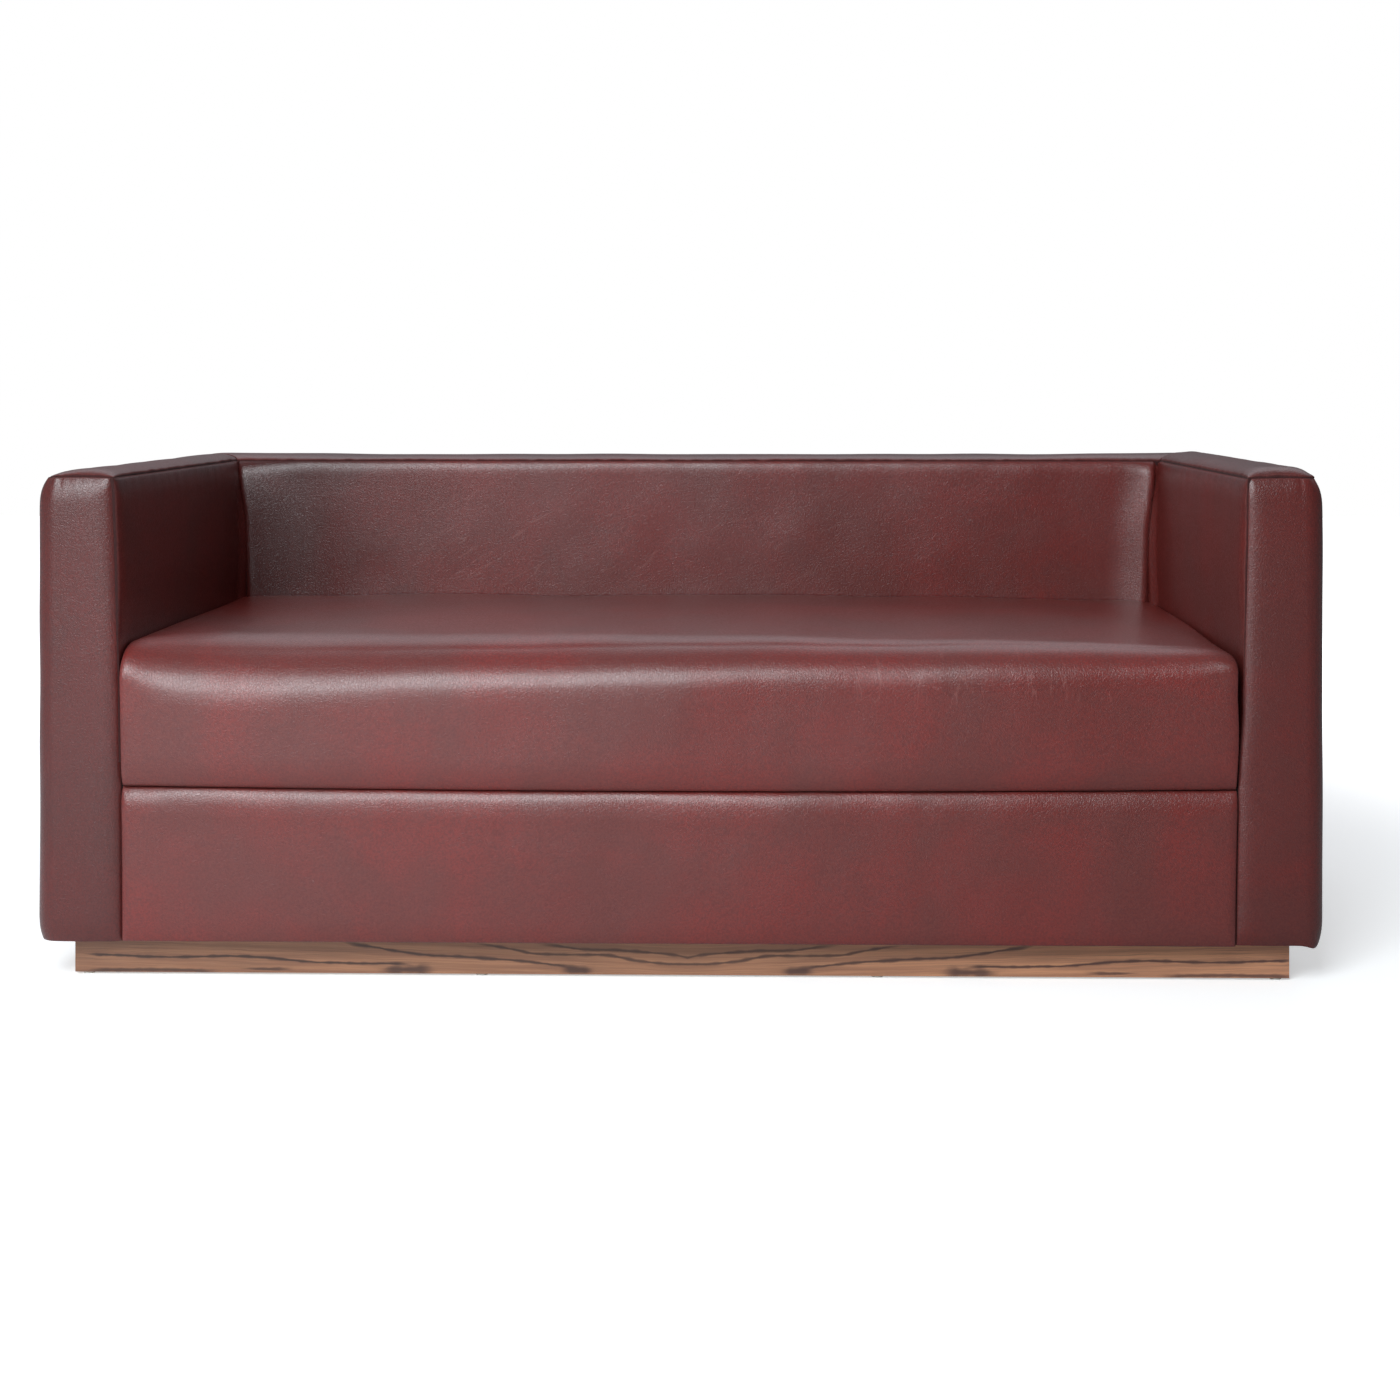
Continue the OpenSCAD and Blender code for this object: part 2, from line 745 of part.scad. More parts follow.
// Zigzag springs: straight bars joined by half-round bends, clipped to the front and back rails
spring_y0 = frame_back - timber_t / 2;
spring_y1 = seat_rail_y1 + timber_t / 2;
bar_count = floor((spring_y1 - spring_y0) / loop_pitch);
pitch = (spring_y1 - spring_y0) / bar_count;
spring_z = deck_h + clip_t;

// One edge of the wire, to its left where side is 1 and to its right where side is -1
function spring_edge(side) = flat([for (k = [0 : bar_count])
    let (
        way = k % 2 == 0 ? 1 : -1,
        y = spring_y0 + k * pitch,
        edge_y = y + side * way * wire_t / 2,
        reach = pitch / 2 - side * way * wire_t / 2
    )
    concat(
        [[-way * loop_bar / 2, edge_y], [way * loop_bar / 2, edge_y]],
        k == bar_count ? [] : [for (q = [1 : bend_steps - 1]) let (a = 180 * q / bend_steps - 90)
            [way * (loop_bar / 2 + reach * cos(a)), y + pitch / 2 + reach * sin(a)]]
    )]);

function reversed(list) = [for (i = [len(list) - 1 : -1 : 0]) list[i]];
function spring_x(k) = bay(k, spring_count, 2 * (core_in - timber_t));

module seat_springs() {
    color(steel_colour)
        for (k = [0 : spring_count - 1])
            translate([spring_x(k), 0, spring_z])
                linear_extrude(wire_t)
                    polygon(concat(spring_edge(1), reversed(spring_edge(-1))));
}

// A clip folded round the last bar of a spring, open towards the spring
module spring_clip() {
    fold = wire_t / 2 + gap + clip_t;
    rotate([90, 0, 90])
        linear_extrude(clip_w, center = true)
            polygon([
                [-fold, 0], [fold, 0], [fold, clip_t], [clip_t - fold, clip_t],
                [clip_t - fold, clip_h - clip_t], [fold, clip_h - clip_t], [fold, clip_h], [-fold, clip_h]
            ]);
}

module spring_clips() {
    color(steel_colour)
        for (k = [0 : spring_count - 1]) {
            translate([spring_x(k), spring_y0, deck_h])
                spring_clip();
            translate([spring_x(k), spring_y1, deck_h])
                mirror([0, 1, 0])
                    spring_clip();
        }
}

module spring_tie_wires() {
    color(steel_colour)
        for (k = [0 : tie_count - 1])
            translate([
                timber_t - core_in,
                mix(frame_back, seat_rail_y1, (k + 1) / (tie_count + 1)),
                spring_z - tie_t / 2
            ])
                rotate([0, 90, 0])
                    cylinder(d = tie_t, h = 2 * (core_in - timber_t), $fn = 24);
}

module spring_felt() {
    color(cloth_colour)
        board(
            [timber_t - core_in, core_front, felt_h],
            [core_in - timber_t, seat_back - leather_t, felt_h + felt_t]
        );
}

// Fasteners
module coach_screws() {
    color(steel_colour)
        both_sides()
            for (k = [0 : coach_count - 1])
                translate([core_in - timber_t, coach_y(k), coach_z])
                    rotate([0, 90, 0]) {
                        cylinder(d = coach_d, h = coach_l, $fn = 48);
                        translate([0, 0, -washer_t - coach_head_h])
                            cylinder(d = coach_head_d, h = coach_head_h, $fn = 6);
                        translate([0, 0, -washer_t])
                            cylinder(d = coach_d, h = washer_t, $fn = 48);
                    }
}

module coach_washers() {
    color(steel_colour)
        both_sides()
            for (k = [0 : coach_count - 1])
                translate([core_in - timber_t, coach_y(k), coach_z])
                    rotate([0, -90, 0])
                        difference() {
                            cylinder(d = washer_d, h = washer_t, $fn = 48);
                            translate([0, 0, -overrun])
                                cylinder(d = coach_d + 2 * drill_gap, h = washer_t + 2 * overrun, $fn = 48);
                        }
}

module plinth_screws() {
    color(steel_colour)
        plinth_screw_places() {
            translate([0, 0, bearer_lift - screw_head_h])
                cylinder(d = screw_head_d, h = screw_head_h, $fn = 32);
            translate([0, 0, bearer_lift])
                cylinder(d = screw_d, h = base_h + screw_bite - bearer_lift, $fn = 32);
        }
}

// Cloth tacked under the frame
module dust_cover() {
    x = core_out - dust_hem;
    color(cloth_colour)
        difference() {
            board([-x, core_front + dust_hem, plinth_h], [x, core_rear - dust_hem, base_h]);
            plinth_screw_hole();
        }
}

// Plinth: four boards on edge, bearers and glued blocks inside, veneer leaves outside
module plinth_long_board(y) {
    color(timber_colour)
        board([-board_x, y, glide_t], [board_x, y + plinth_t, plinth_h]);
}

module plinth_front_board() {
    plinth_long_board(board_y);
}

module plinth_back_board() {
    plinth_long_board(board_rear - plinth_t);
}

module plinth_right_board() {
    color(timber_colour)
        board([board_x - plinth_t, board_y + plinth_t, glide_t], [board_x, board_rear - plinth_t, plinth_h]);
}

module plinth_left_board() {
    other_side()
        plinth_right_board();
}

module plinth_bearers() {
    color(timber_colour)
        for (k = [0 : bearer_count - 1])
            translate([bay(k, bearer_count, 2 * (board_x - plinth_t)) - plinth_t / 2, 0, 0])
                board([0, board_y + plinth_t, bearer_lift], [plinth_t, board_rear - plinth_t, plinth_h]);
}

module plinth_corner_blocks() {
    x = board_x - plinth_t;
    color(timber_colour)
        difference() {
            both_sides() {
                translate([-x, board_y + plinth_t, bearer_lift])
                    corner_block(block_plinth_leg, plinth_h - bearer_lift);
                translate([-x, board_rear - plinth_t, bearer_lift])
                    mirror([0, 1, 0])
                        corner_block(block_plinth_leg, plinth_h - bearer_lift);
            }
            plinth_screw_hole();
        }
}

module front_leaf(x0, x1) {
    color(veneer_colour)
        board([x0, plinth_y, glide_t], [x1, board_y, plinth_h]);
}

module front_veneer_left() {
    front_leaf(-plinth_x, match_shift);
}

module front_veneer_right() {
    front_leaf(match_shift, plinth_x);
}

module right_veneer() {
    color(veneer_colour)
        board([board_x, board_y, glide_t], [plinth_x, board_rear, plinth_h]);
}

module left_veneer() {
    other_side()
        right_veneer();
}

module back_veneer() {
    color(veneer_colour)
        board([-plinth_x, board_rear, glide_t], [plinth_x, plinth_rear, plinth_h]);
}

module floor_glides() {
    color(nylon_colour)
        for (k = [0 : glide_count - 1], y = [board_y + plinth_t / 2, board_rear - plinth_t / 2])
            translate([mix(-1, 1, k / (glide_count - 1)) * (board_x - glide_d), y, 0])
                cylinder(d = glide_d, h = glide_t, $fn = 48);
}

other_side() arm_outer_cover();  // left_arm_outer_cover
other_side() arm_inner_cover();  // left_arm_inner_cover
other_side() arm_top_band();  // left_arm_top_band
arm_outer_cover();  // right_arm_outer_cover
arm_inner_cover();  // right_arm_inner_cover
arm_top_band();  // right_arm_top_band
back_inner_cover();
back_top_band();
back_outer_cover();
seat_cover();
border_cover();
other_side() arm_outer_wadding();  // left_arm_outer_wadding
other_side() arm_inner_foam();  // left_arm_inner_foam
other_side() arm_top_foam();  // left_arm_top_foam
arm_outer_wadding();  // right_arm_outer_wadding
arm_inner_foam();  // right_arm_inner_foam
arm_top_foam();  // right_arm_top_foam
back_foam();
back_top_foam();
back_outer_wadding();
seat_foam();
border_foam();
other_side() arm_outer_board();  // left_arm_outer_board
other_side() arm_inner_board();  // left_arm_inner_board
arm_outer_board();  // right_arm_outer_board
arm_inner_board();  // right_arm_inner_board
back_inner_board();
back_outer_board();
other_side() arm_posts();  // left_arm_posts
other_side() arm_rails();  // left_arm_rails
arm_posts();  // right_arm_posts
arm_rails();  // right_arm_rails
back_rails();
back_stiles();
seat_front_rail();
seat_back_rail();
seat_side_rails();
seat_cross_rails();
seat_corner_blocks();
floor_rails();
seat_springs();
spring_clips();
spring_tie_wires();
spring_felt();
coach_screws();
coach_washers();
plinth_screws();
dust_cover();
plinth_front_board();
plinth_back_board();
plinth_left_board();
plinth_right_board();
plinth_bearers();
plinth_corner_blocks();
front_veneer_left();
front_veneer_right();
left_veneer();
right_veneer();
back_veneer();
floor_glides();
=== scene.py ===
import math

import bpy
import numpy as np
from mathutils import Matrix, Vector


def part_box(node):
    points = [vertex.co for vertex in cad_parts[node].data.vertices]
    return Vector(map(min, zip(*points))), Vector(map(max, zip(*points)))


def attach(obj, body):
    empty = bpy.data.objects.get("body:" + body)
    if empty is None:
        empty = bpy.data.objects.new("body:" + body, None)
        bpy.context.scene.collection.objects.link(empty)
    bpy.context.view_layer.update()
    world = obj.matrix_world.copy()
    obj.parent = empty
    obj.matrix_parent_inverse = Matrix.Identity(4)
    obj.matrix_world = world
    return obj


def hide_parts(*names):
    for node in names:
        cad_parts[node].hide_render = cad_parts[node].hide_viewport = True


# Two-seat sofa: square arms as high as the back, one fixed bench seat, smooth oxblood leather and a
# veneered plinth. Metres; X is the width, the front looks towards -Y, Z is up, the floor is at 0.
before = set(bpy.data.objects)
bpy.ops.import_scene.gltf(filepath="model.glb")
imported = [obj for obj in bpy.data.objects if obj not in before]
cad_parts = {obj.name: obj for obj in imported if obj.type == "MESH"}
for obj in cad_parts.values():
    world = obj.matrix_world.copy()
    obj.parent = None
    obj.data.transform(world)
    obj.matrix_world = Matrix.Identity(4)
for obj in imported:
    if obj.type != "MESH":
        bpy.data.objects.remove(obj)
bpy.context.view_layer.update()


# Timber frame: posts, rails, stiles and glued blocks of pale sawn hardwood, and the plain boards
# inside the plinth. They are butted, glued and screwed, and only the underside ever shows any.
def node_group(name, inputs, outputs):
    """An empty shader node group with the given named inputs (type, default) and outputs (type)."""
    group = bpy.data.node_groups.new(name, "ShaderNodeTree")
    for label, (kind, default) in inputs.items():
        socket = group.interface.new_socket(label, in_out="INPUT", socket_type=kind)
        if default is not None:
            socket.default_value = default
    for label, kind in outputs.items():
        group.interface.new_socket(label, in_out="OUTPUT", socket_type=kind)
    return group, group.nodes.new("NodeGroupInput"), group.nodes.new("NodeGroupOutput")


def feed(tree, node, **settings):
    """Sets a node's sockets and properties by name; a value that is a socket is linked."""
    for key, value in settings.items():
        label = key.replace("_", " ")
        socket = node.inputs.get(label) or node.inputs.get(label.title())
        if key.startswith("in") and key[2:].isdigit():
            socket = node.inputs[int(key[2:])]
        if socket is None:
            setattr(node, key, value)
        elif isinstance(value, bpy.types.NodeSocket):
            tree.links.new(value, socket)
        else:
            socket.default_value = value
    return node


def put(tree, kind, **settings):
    """A new shader node of a kind, fed with its settings."""
    return feed(tree, tree.nodes.new("ShaderNode" + kind), **settings)


def sums(tree, operation, first, second=0.0, third=0.0):
    """One Math node on up to three values."""
    return put(tree, "Math", operation=operation, in0=first, in1=second, in2=third).outputs[0]


def blended(tree, factor, first, second):
    """Mixes two colours by a factor."""
    return put(tree, "Mix", data_type="RGBA", in0=factor, in6=first, in7=second).outputs[2]


def stepped(tree, value, low, high, start=0.0, end=1.0):
    """Smooth step of a value from low to high, giving start to end."""
    return put(tree, "MapRange", interpolation_type="SMOOTHSTEP", in0=value, in1=low, in2=high,
               in3=start, in4=end).outputs[0]


def object_point(tree):
    """The shaded point in its object's coordinates."""
    return put(tree, "TexCoord").outputs["Object"]


def finish_of(name, roughness=0.5, **constants):
    """A new material with a Principled shader; returns it, its tree and the shader."""
    material = bpy.data.materials.new(name)
    material.use_nodes = True
    tree = material.node_tree
    shader = feed(tree, tree.nodes["Principled BSDF"], Roughness=roughness, **constants)
    return material, tree, shader


def rgb(red, green, blue):
    """A display colour given in 0 to 255, as linear light."""
    line = [c / 255 for c in (red, green, blue)]
    return [c / 12.92 if c <= 0.04045 else ((c + 0.055) / 1.055) ** 2.4 for c in line] + [1.0]


def wear(names, material):
    """Gives the solids' meshes of the named nodes one material."""
    for name in names:
        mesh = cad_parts[name].data
        mesh.materials.clear()
        mesh.materials.append(material)


def bumped(tree, shader, strength, distance, height):
    """Bump from a height, fed to the shader's normal."""
    bump = put(tree, "Bump", Strength=strength, Distance=distance, Height=height)
    feed(tree, shader, Normal=bump.outputs[0])


grain_group, g_in, g_out = node_group(
    "sawn grain",
    {"Vector": ("NodeSocketVector", None), "Stretch": ("NodeSocketVector", (3.0, 40.0, 40.0))},
    {"Figure": "NodeSocketFloat", "Pores": "NodeSocketFloat"},
)
scaled = put(grain_group, "VectorMath", operation="MULTIPLY",
             in0=g_in.outputs["Vector"], in1=g_in.outputs["Stretch"]).outputs[0]
figure = put(grain_group, "TexNoise", Vector=scaled, Scale=1.0, Detail=4.0, Distortion=1.2)
pores = put(grain_group, "TexNoise", Vector=scaled, Scale=11.0, Detail=2.0)
feed(grain_group, g_out, Figure=figure.outputs[0], Pores=pores.outputs[0])


def plain_wood(name, light, dark, stretch):
    """Sawn wood: a stretched noise for the figure and a finer one for pores and bump."""
    material, tree, shader = finish_of(name, roughness=0.72)
    grain = put(tree, "Group", node_tree=grain_group, Vector=object_point(tree), Stretch=stretch)
    tone = blended(tree, stepped(tree, grain.outputs["Figure"], 0.35, 0.65), light, dark)
    feed(tree, shader, Base_Color=tone)
    bumped(tree, shader, 0.35, 0.0006, grain.outputs["Pores"])
    return material


along_x = (3.0, 42.0, 42.0)
along_y = (42.0, 3.0, 42.0)
along_z = (42.0, 42.0, 3.0)
beech, beech_dark = rgb(214, 184, 140), rgb(186, 150, 104)
wear(["back_rails", "seat_front_rail", "seat_back_rail", "seat_corner_blocks"],
     plain_wood("beech, grain across", beech, beech_dark, along_x))
wear(["left_arm_rails", "right_arm_rails", "seat_side_rails", "seat_cross_rails", "floor_rails"],
     plain_wood("beech, grain front to back", beech, beech_dark, along_y))
wear(["left_arm_posts", "right_arm_posts", "back_stiles"],
     plain_wood("beech, grain upright", beech, beech_dark, along_z))


# Linings: thin hardboard tacked on the frame under the padding, so that the leather lies on an even
# ground. All of them are sealed inside.
def mottled(name, light, dark, scale, detail, **constants):
    """A plain finish of two tones mixed by a fine noise."""
    material, tree, shader = finish_of(name, **constants)
    noise = put(tree, "TexNoise", Vector=object_point(tree), Scale=scale, Detail=detail)
    feed(tree, shader, Base_Color=blended(tree, noise.outputs[0], light, dark))
    return material


wear(["left_arm_outer_board", "left_arm_inner_board", "right_arm_outer_board",
      "right_arm_inner_board", "back_inner_board", "back_outer_board"],
     mottled("hardboard", rgb(150, 112, 76), rgb(112, 78, 50), 220.0, 3.0, roughness=0.8))


# Springing and fasteners: zigzag springs of oiled wire in folded clips, tied by straight wires, with
# coach screws and washers through the side rails and long screws up through the plinth.
wear(["seat_springs", "spring_clips", "spring_tie_wires", "coach_screws", "coach_washers",
      "plinth_screws"],
     mottled("oiled steel", rgb(176, 178, 180), rgb(132, 134, 138), 60.0, 4.0, roughness=0.34,
             Metallic=1.0))


# Felt: a pad of grey fibre, pressed and needled, laid loose over the springs. It keeps their wire off
# the seat's foam.
wear(["spring_felt"],
     mottled("pressed felt", rgb(104, 102, 98), rgb(74, 72, 70), 420.0, 5.0, roughness=0.95))


# Leather: aniline-dyed oxblood hide, semi-gloss, with a fine pore, cloudy dye that is redder in
# places, and pale hairlines where it has been pulled. Every panel is cut from the same hides.
hide_group, g_in, g_out = node_group(
    "hide",
    {"Vector": ("NodeSocketVector", None)},
    {"Cloud": "NodeSocketFloat", "Speckle": "NodeSocketFloat", "Relief": "NodeSocketFloat"},
)
point = g_in.outputs["Vector"]
cloud = put(hide_group, "TexNoise", Vector=point, Scale=5.5, Detail=4.0, Roughness=0.6,
            Distortion=0.4)
speckle = put(hide_group, "TexNoise", Vector=point, Scale=330.0, Detail=3.0, Roughness=0.7)
bent = put(hide_group, "TexNoise", Vector=point, Scale=90.0, Detail=1.0)
shifted = put(hide_group, "VectorMath", operation="MULTIPLY_ADD",
              in0=bent.outputs["Color"], in1=(0.004, 0.004, 0.004), in2=point).outputs[0]
cells = put(hide_group, "TexVoronoi", feature="SMOOTH_F1", Vector=shifted, Scale=620.0,
            Smoothness=0.4)
coarse = put(hide_group, "TexVoronoi", feature="DISTANCE_TO_EDGE", Vector=shifted, Scale=210.0)
valley = stepped(hide_group, coarse.outputs["Distance"], 0.0, 0.12)
relief = sums(hide_group, "MULTIPLY_ADD", valley, 0.45, cells.outputs["Distance"])
feed(hide_group, g_out, Cloud=cloud.outputs[0], Speckle=speckle.outputs[0], Relief=relief)

hair_group, g_in, g_out = node_group(
    "pull lines",
    {"Vector": ("NodeSocketVector", None), "Turn": ("NodeSocketVector", (0.0, 0.0, 0.0)),
     "Stretch": ("NodeSocketVector", (9.0, 9.0, 60.0)), "Width": ("NodeSocketFloat", 0.012)},
    {"Lines": "NodeSocketFloat"},
)
turned = put(hair_group, "VectorRotate", rotation_type="EULER_XYZ",
             Vector=g_in.outputs["Vector"], Rotation=g_in.outputs["Turn"]).outputs[0]
drawn = put(hair_group, "VectorMath", operation="MULTIPLY", in0=turned,
            in1=g_in.outputs["Stretch"]).outputs[0]
field = put(hair_group, "TexNoise", Vector=drawn, Scale=1.0, Detail=2.5, Roughness=0.45)
ridge = sums(hair_group, "ABSOLUTE", sums(hair_group, "SUBTRACT", field.outputs[0], 0.5))
line = stepped(hair_group, ridge, 0.0, g_in.outputs["Width"], 1.0, 0.0)
patch = put(hair_group, "TexNoise", Vector=drawn, Scale=1.7, Detail=1.0)
broken = stepped(hair_group, patch.outputs[0], 0.5, 0.62)
feed(hair_group, g_out, Lines=sums(hair_group, "MULTIPLY", line, broken))


def leather(name, depth=1.0, pulls=(), painted_shade_share=1.0, polish=0.33):
    """Oxblood leather: depth scales its dye, and towards the left end dye and polish fade to the given
    share, a painted shade that stands in for the arm's shadow. Each patch of pull lines is (turn, stretch,
    width, centre, reach, strength)."""
    material, tree, shader = finish_of(name, roughness=0.34, Coat_Roughness=0.26, Coat_IOR=1.45,
                                       Specular_IOR_Level=0.55)
    place = object_point(tree)
    hide = put(tree, "Group", node_tree=hide_group, Vector=place)
    red = stepped(tree, hide.outputs["Cloud"], 0.36, 0.66)
    tone = blended(tree, red, rgb(107, 45, 40), rgb(123, 41, 36))
    fleck = stepped(tree, hide.outputs["Speckle"], 0.36, 0.68, 0.0, 0.7)
    tone = blended(tree, fleck, tone, rgb(88, 33, 33))
    seam = put(tree, "Attribute", attribute_name="seam").outputs["Fac"]
    tone = blended(tree, stepped(tree, seam, 0.0, 0.0013, 0.8, 0.0), tone, rgb(48, 16, 16))
    height = hide.outputs["Relief"]
    for turn, stretch, width, centre, reach, strength in pulls:
        hair = put(tree, "Group", node_tree=hair_group, Vector=place, Turn=turn,
                   Stretch=stretch, Width=width)
        away = put(tree, "Mapping", vector_type="TEXTURE", Vector=place, Location=centre,
                   Scale=reach).outputs[0]
        radius = put(tree, "VectorMath", operation="LENGTH", in0=away).outputs["Value"]
        mask = sums(tree, "MULTIPLY", hair.outputs[0], stepped(tree, radius, 0.35, 1.0, strength, 0.0))
        tone = blended(tree, mask, tone, rgb(176, 124, 118))
        height = sums(tree, "MULTIPLY_ADD", mask, 0.8, height)
    # Painted shade: towards the left end the dye and the coat fade, standing in for the left arm's shadow
    # on the back.
    if painted_shade_share < 1.0:
        across = put(tree, "SeparateXYZ", Vector=place).outputs["X"]
        end = stepped(tree, across, -0.74, -0.36, painted_shade_share, 1.0)
        depth, polish = (sums(tree, "MULTIPLY", end, level) for level in (depth, polish))
    tone = put(tree, "VectorMath", operation="SCALE", in0=tone, Scale=depth)
    gloss = stepped(tree, hide.outputs["Speckle"], 0.30, 0.7, 0.29, 0.39)
    feed(tree, shader, Base_Color=tone.outputs[0],
         Roughness=stepped(tree, seam, 0.0006, 0.0024, 0.95, gloss),
         Coat_Weight=stepped(tree, seam, 0.0006, 0.0024, 0.0, polish))
    bumped(tree, shader, 0.55, 0.0005, height)
    return material


# The leather copies differ in how deep their dye is set, as painted light and shade: the left arm's is
# darkest (painted shade), and the right arm, back, seat and border are lighter than the plain leather
# (painted light).
plain_leather = leather("oxblood leather", 0.78)
arm_lit_and_shaded_leathers = {-1: ("left", leather("oxblood leather, left arm", 0.64)),
             1: ("right", leather("oxblood leather, right arm", 0.86))}


# Arms, inner side: a leather panel over thin foam from the seat up to the top seam. It swells a
# little over the foam, rolls in at the front seam and runs down behind the seat.
def rise(distance, roll):
    """Quarter round: 0 at an edge, 1 at the distance roll from it and beyond."""
    near = np.clip(distance / roll, 0.0, 1.0)
    return np.sqrt(1.0 - (1.0 - near) ** 2)


def fall(distance, roll):
    """1 at an edge, 0 at the distance roll from it and beyond."""
    return 1.0 - rise(distance, roll)


def ramp(value, low, high):
    """Smooth step from 0 at low to 1 at high: 3t^2 - 2t^3."""
    t = np.clip((value - low) / (high - low), 0.0, 1.0)
    return t * t * (3.0 - 2.0 * t)


quarter_turn, whole_turn = math.pi / 2, 6.283


def places(length, roll, step):
    """Places along a length: cosine-spaced within roll of both ends, even between."""
    fine = roll * (1.0 - np.cos(np.linspace(0.0, quarter_turn, 11)))
    count = max(2, round((length - 2.0 * roll) / step))
    middle = np.linspace(roll, length - roll, count + 1)[1:-1]
    return np.concatenate([fine, middle, length - fine[::-1]])


def ripple(u, v, seed, wave, count=9):
    """Sum of cosines in seeded directions and of about one wavelength, mostly between -1 and 1."""
    draw = np.random.default_rng(seed)
    total = 0.0
    for _ in range(count):
        turn, span = draw.uniform(0, math.pi), wave * draw.uniform(0.6, 1.7)
        phase = draw.uniform(0, whole_turn)
        total = total + np.cos(whole_turn * (u * math.cos(turn) + v * math.sin(turn)) / span + phase)
    return total / math.sqrt(count)


def pucker(along, away, seed, wave=0.017, reach=0.014):
    """Waves along a seam that die away from it."""
    return ripple(along, 0.0 * along, seed, wave, 7) * np.exp(-away / reach)


def placed(name, data):
    """A new object, linked into the scene."""
    thing = bpy.data.objects.new(name, data)
    bpy.context.scene.collection.objects.link(thing)
    return thing


def grid(x, y, z):
    """A grid of points from three coordinates, each given over the grid or as one number."""
    return np.stack(np.broadcast_arrays(x, y, z), -1)


def closed(name, outer, inner, material, smooth=True):
    """A closed mesh between an outer and an inner grid of points: both faces and a strip round the edge,
    all turned so that the volume inside is positive."""
    n, m = outer.shape[:2]
    points = np.concatenate([outer.reshape(-1, 3), inner.reshape(-1, 3)]).astype(np.float32)
    index = np.arange(n * m).reshape(n, m)
    low = index + n * m

    def strip(a, b):
        return np.stack([a[:-1], b[:-1], b[1:], a[1:]], -1).reshape(-1, 4)

    faces = np.concatenate([
        np.stack([index[:-1, :-1], index[:-1, 1:], index[1:, 1:], index[1:, :-1]], -1).reshape(-1, 4),
        np.stack([low[:-1, :-1], low[1:, :-1], low[1:, 1:], low[:-1, 1:]], -1).reshape(-1, 4),
        strip(index[0], low[0]), strip(index[-1], low[-1])[:, ::-1],
        strip(index[:, 0], low[:, 0])[:, ::-1], strip(index[:, -1], low[:, -1]),
    ])
    a, b, c, d = (points[faces[:, k]].astype(float) for k in range(4))
    if (np.einsum("ij,ij->i", a, np.cross(b, c)) + np.einsum("ij,ij->i", a, np.cross(c, d))).sum() < 0.0:
        faces = faces[:, ::-1]
    mesh = bpy.data.meshes.new(name)
    mesh.vertices.add(len(points))
    mesh.vertices.foreach_set("co", points.ravel())
    mesh.loops.add(faces.size)
    mesh.loops.foreach_set("vertex_index", faces.ravel().astype(np.int32))
    mesh.polygons.add(len(faces))
    mesh.polygons.foreach_set("loop_start", np.arange(0, faces.size, 4, dtype=np.int32))
    mesh.polygons.foreach_set("loop_total", np.full(len(faces), 4, dtype=np.int32))
    mesh.polygons.foreach_set("use_smooth", np.full(len(faces), smooth))
    mesh.update(calc_edges=True)
    mesh.validate()
    mesh.materials.append(material)
    return placed(name, mesh)


def pad(name, outer, inner, seam, nodes, material=plain_leather):
    """A padded leather panel that stands for its solids and knows each point's distance from a seam."""
    piece = closed(name, outer, inner, material)
    mark = piece.data.attributes.new("seam", "FLOAT", "POINT")
    mark.data.foreach_set("value", np.tile(seam.ravel(), 2).astype(np.float32))
    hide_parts(*nodes)
    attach(piece, "root")


leather_lip, panel_foot, panel_top = 0.0009, 0.300, 0.6898


def turned_in(gap):
    """Depth by which the leather turns in at a seam, over a lip as wide as the leather is thick."""
    return leather_lip * fall(gap, leather_lip)


def nearest(first, *others):
    """The least of several gaps at each point."""
    for gap in others:
        first = np.minimum(first, gap)
    return first


def joined(*parts):
    """Parts of a profile side by side; a part of one row is repeated to the height of the others."""
    tall = max(len(part) for part in parts)
    return np.concatenate([np.broadcast_to(part, (tall, part.shape[1])) for part in parts], 1)


def arm_face(side, z):
    """Distance of an arm's inner face from the middle at a height, as the two arms really stand."""
    if side < 0:
        return 0.762 + 0.012 * np.clip((z - 0.057) / 0.633, 0, 1) ** 2
    return 0.758 + 0.003 * ramp(z, 0.06, 0.30) + 0.007 * ramp(z, 0.28, 0.38) + 0.006 * ramp(z, 0.36, 0.69)


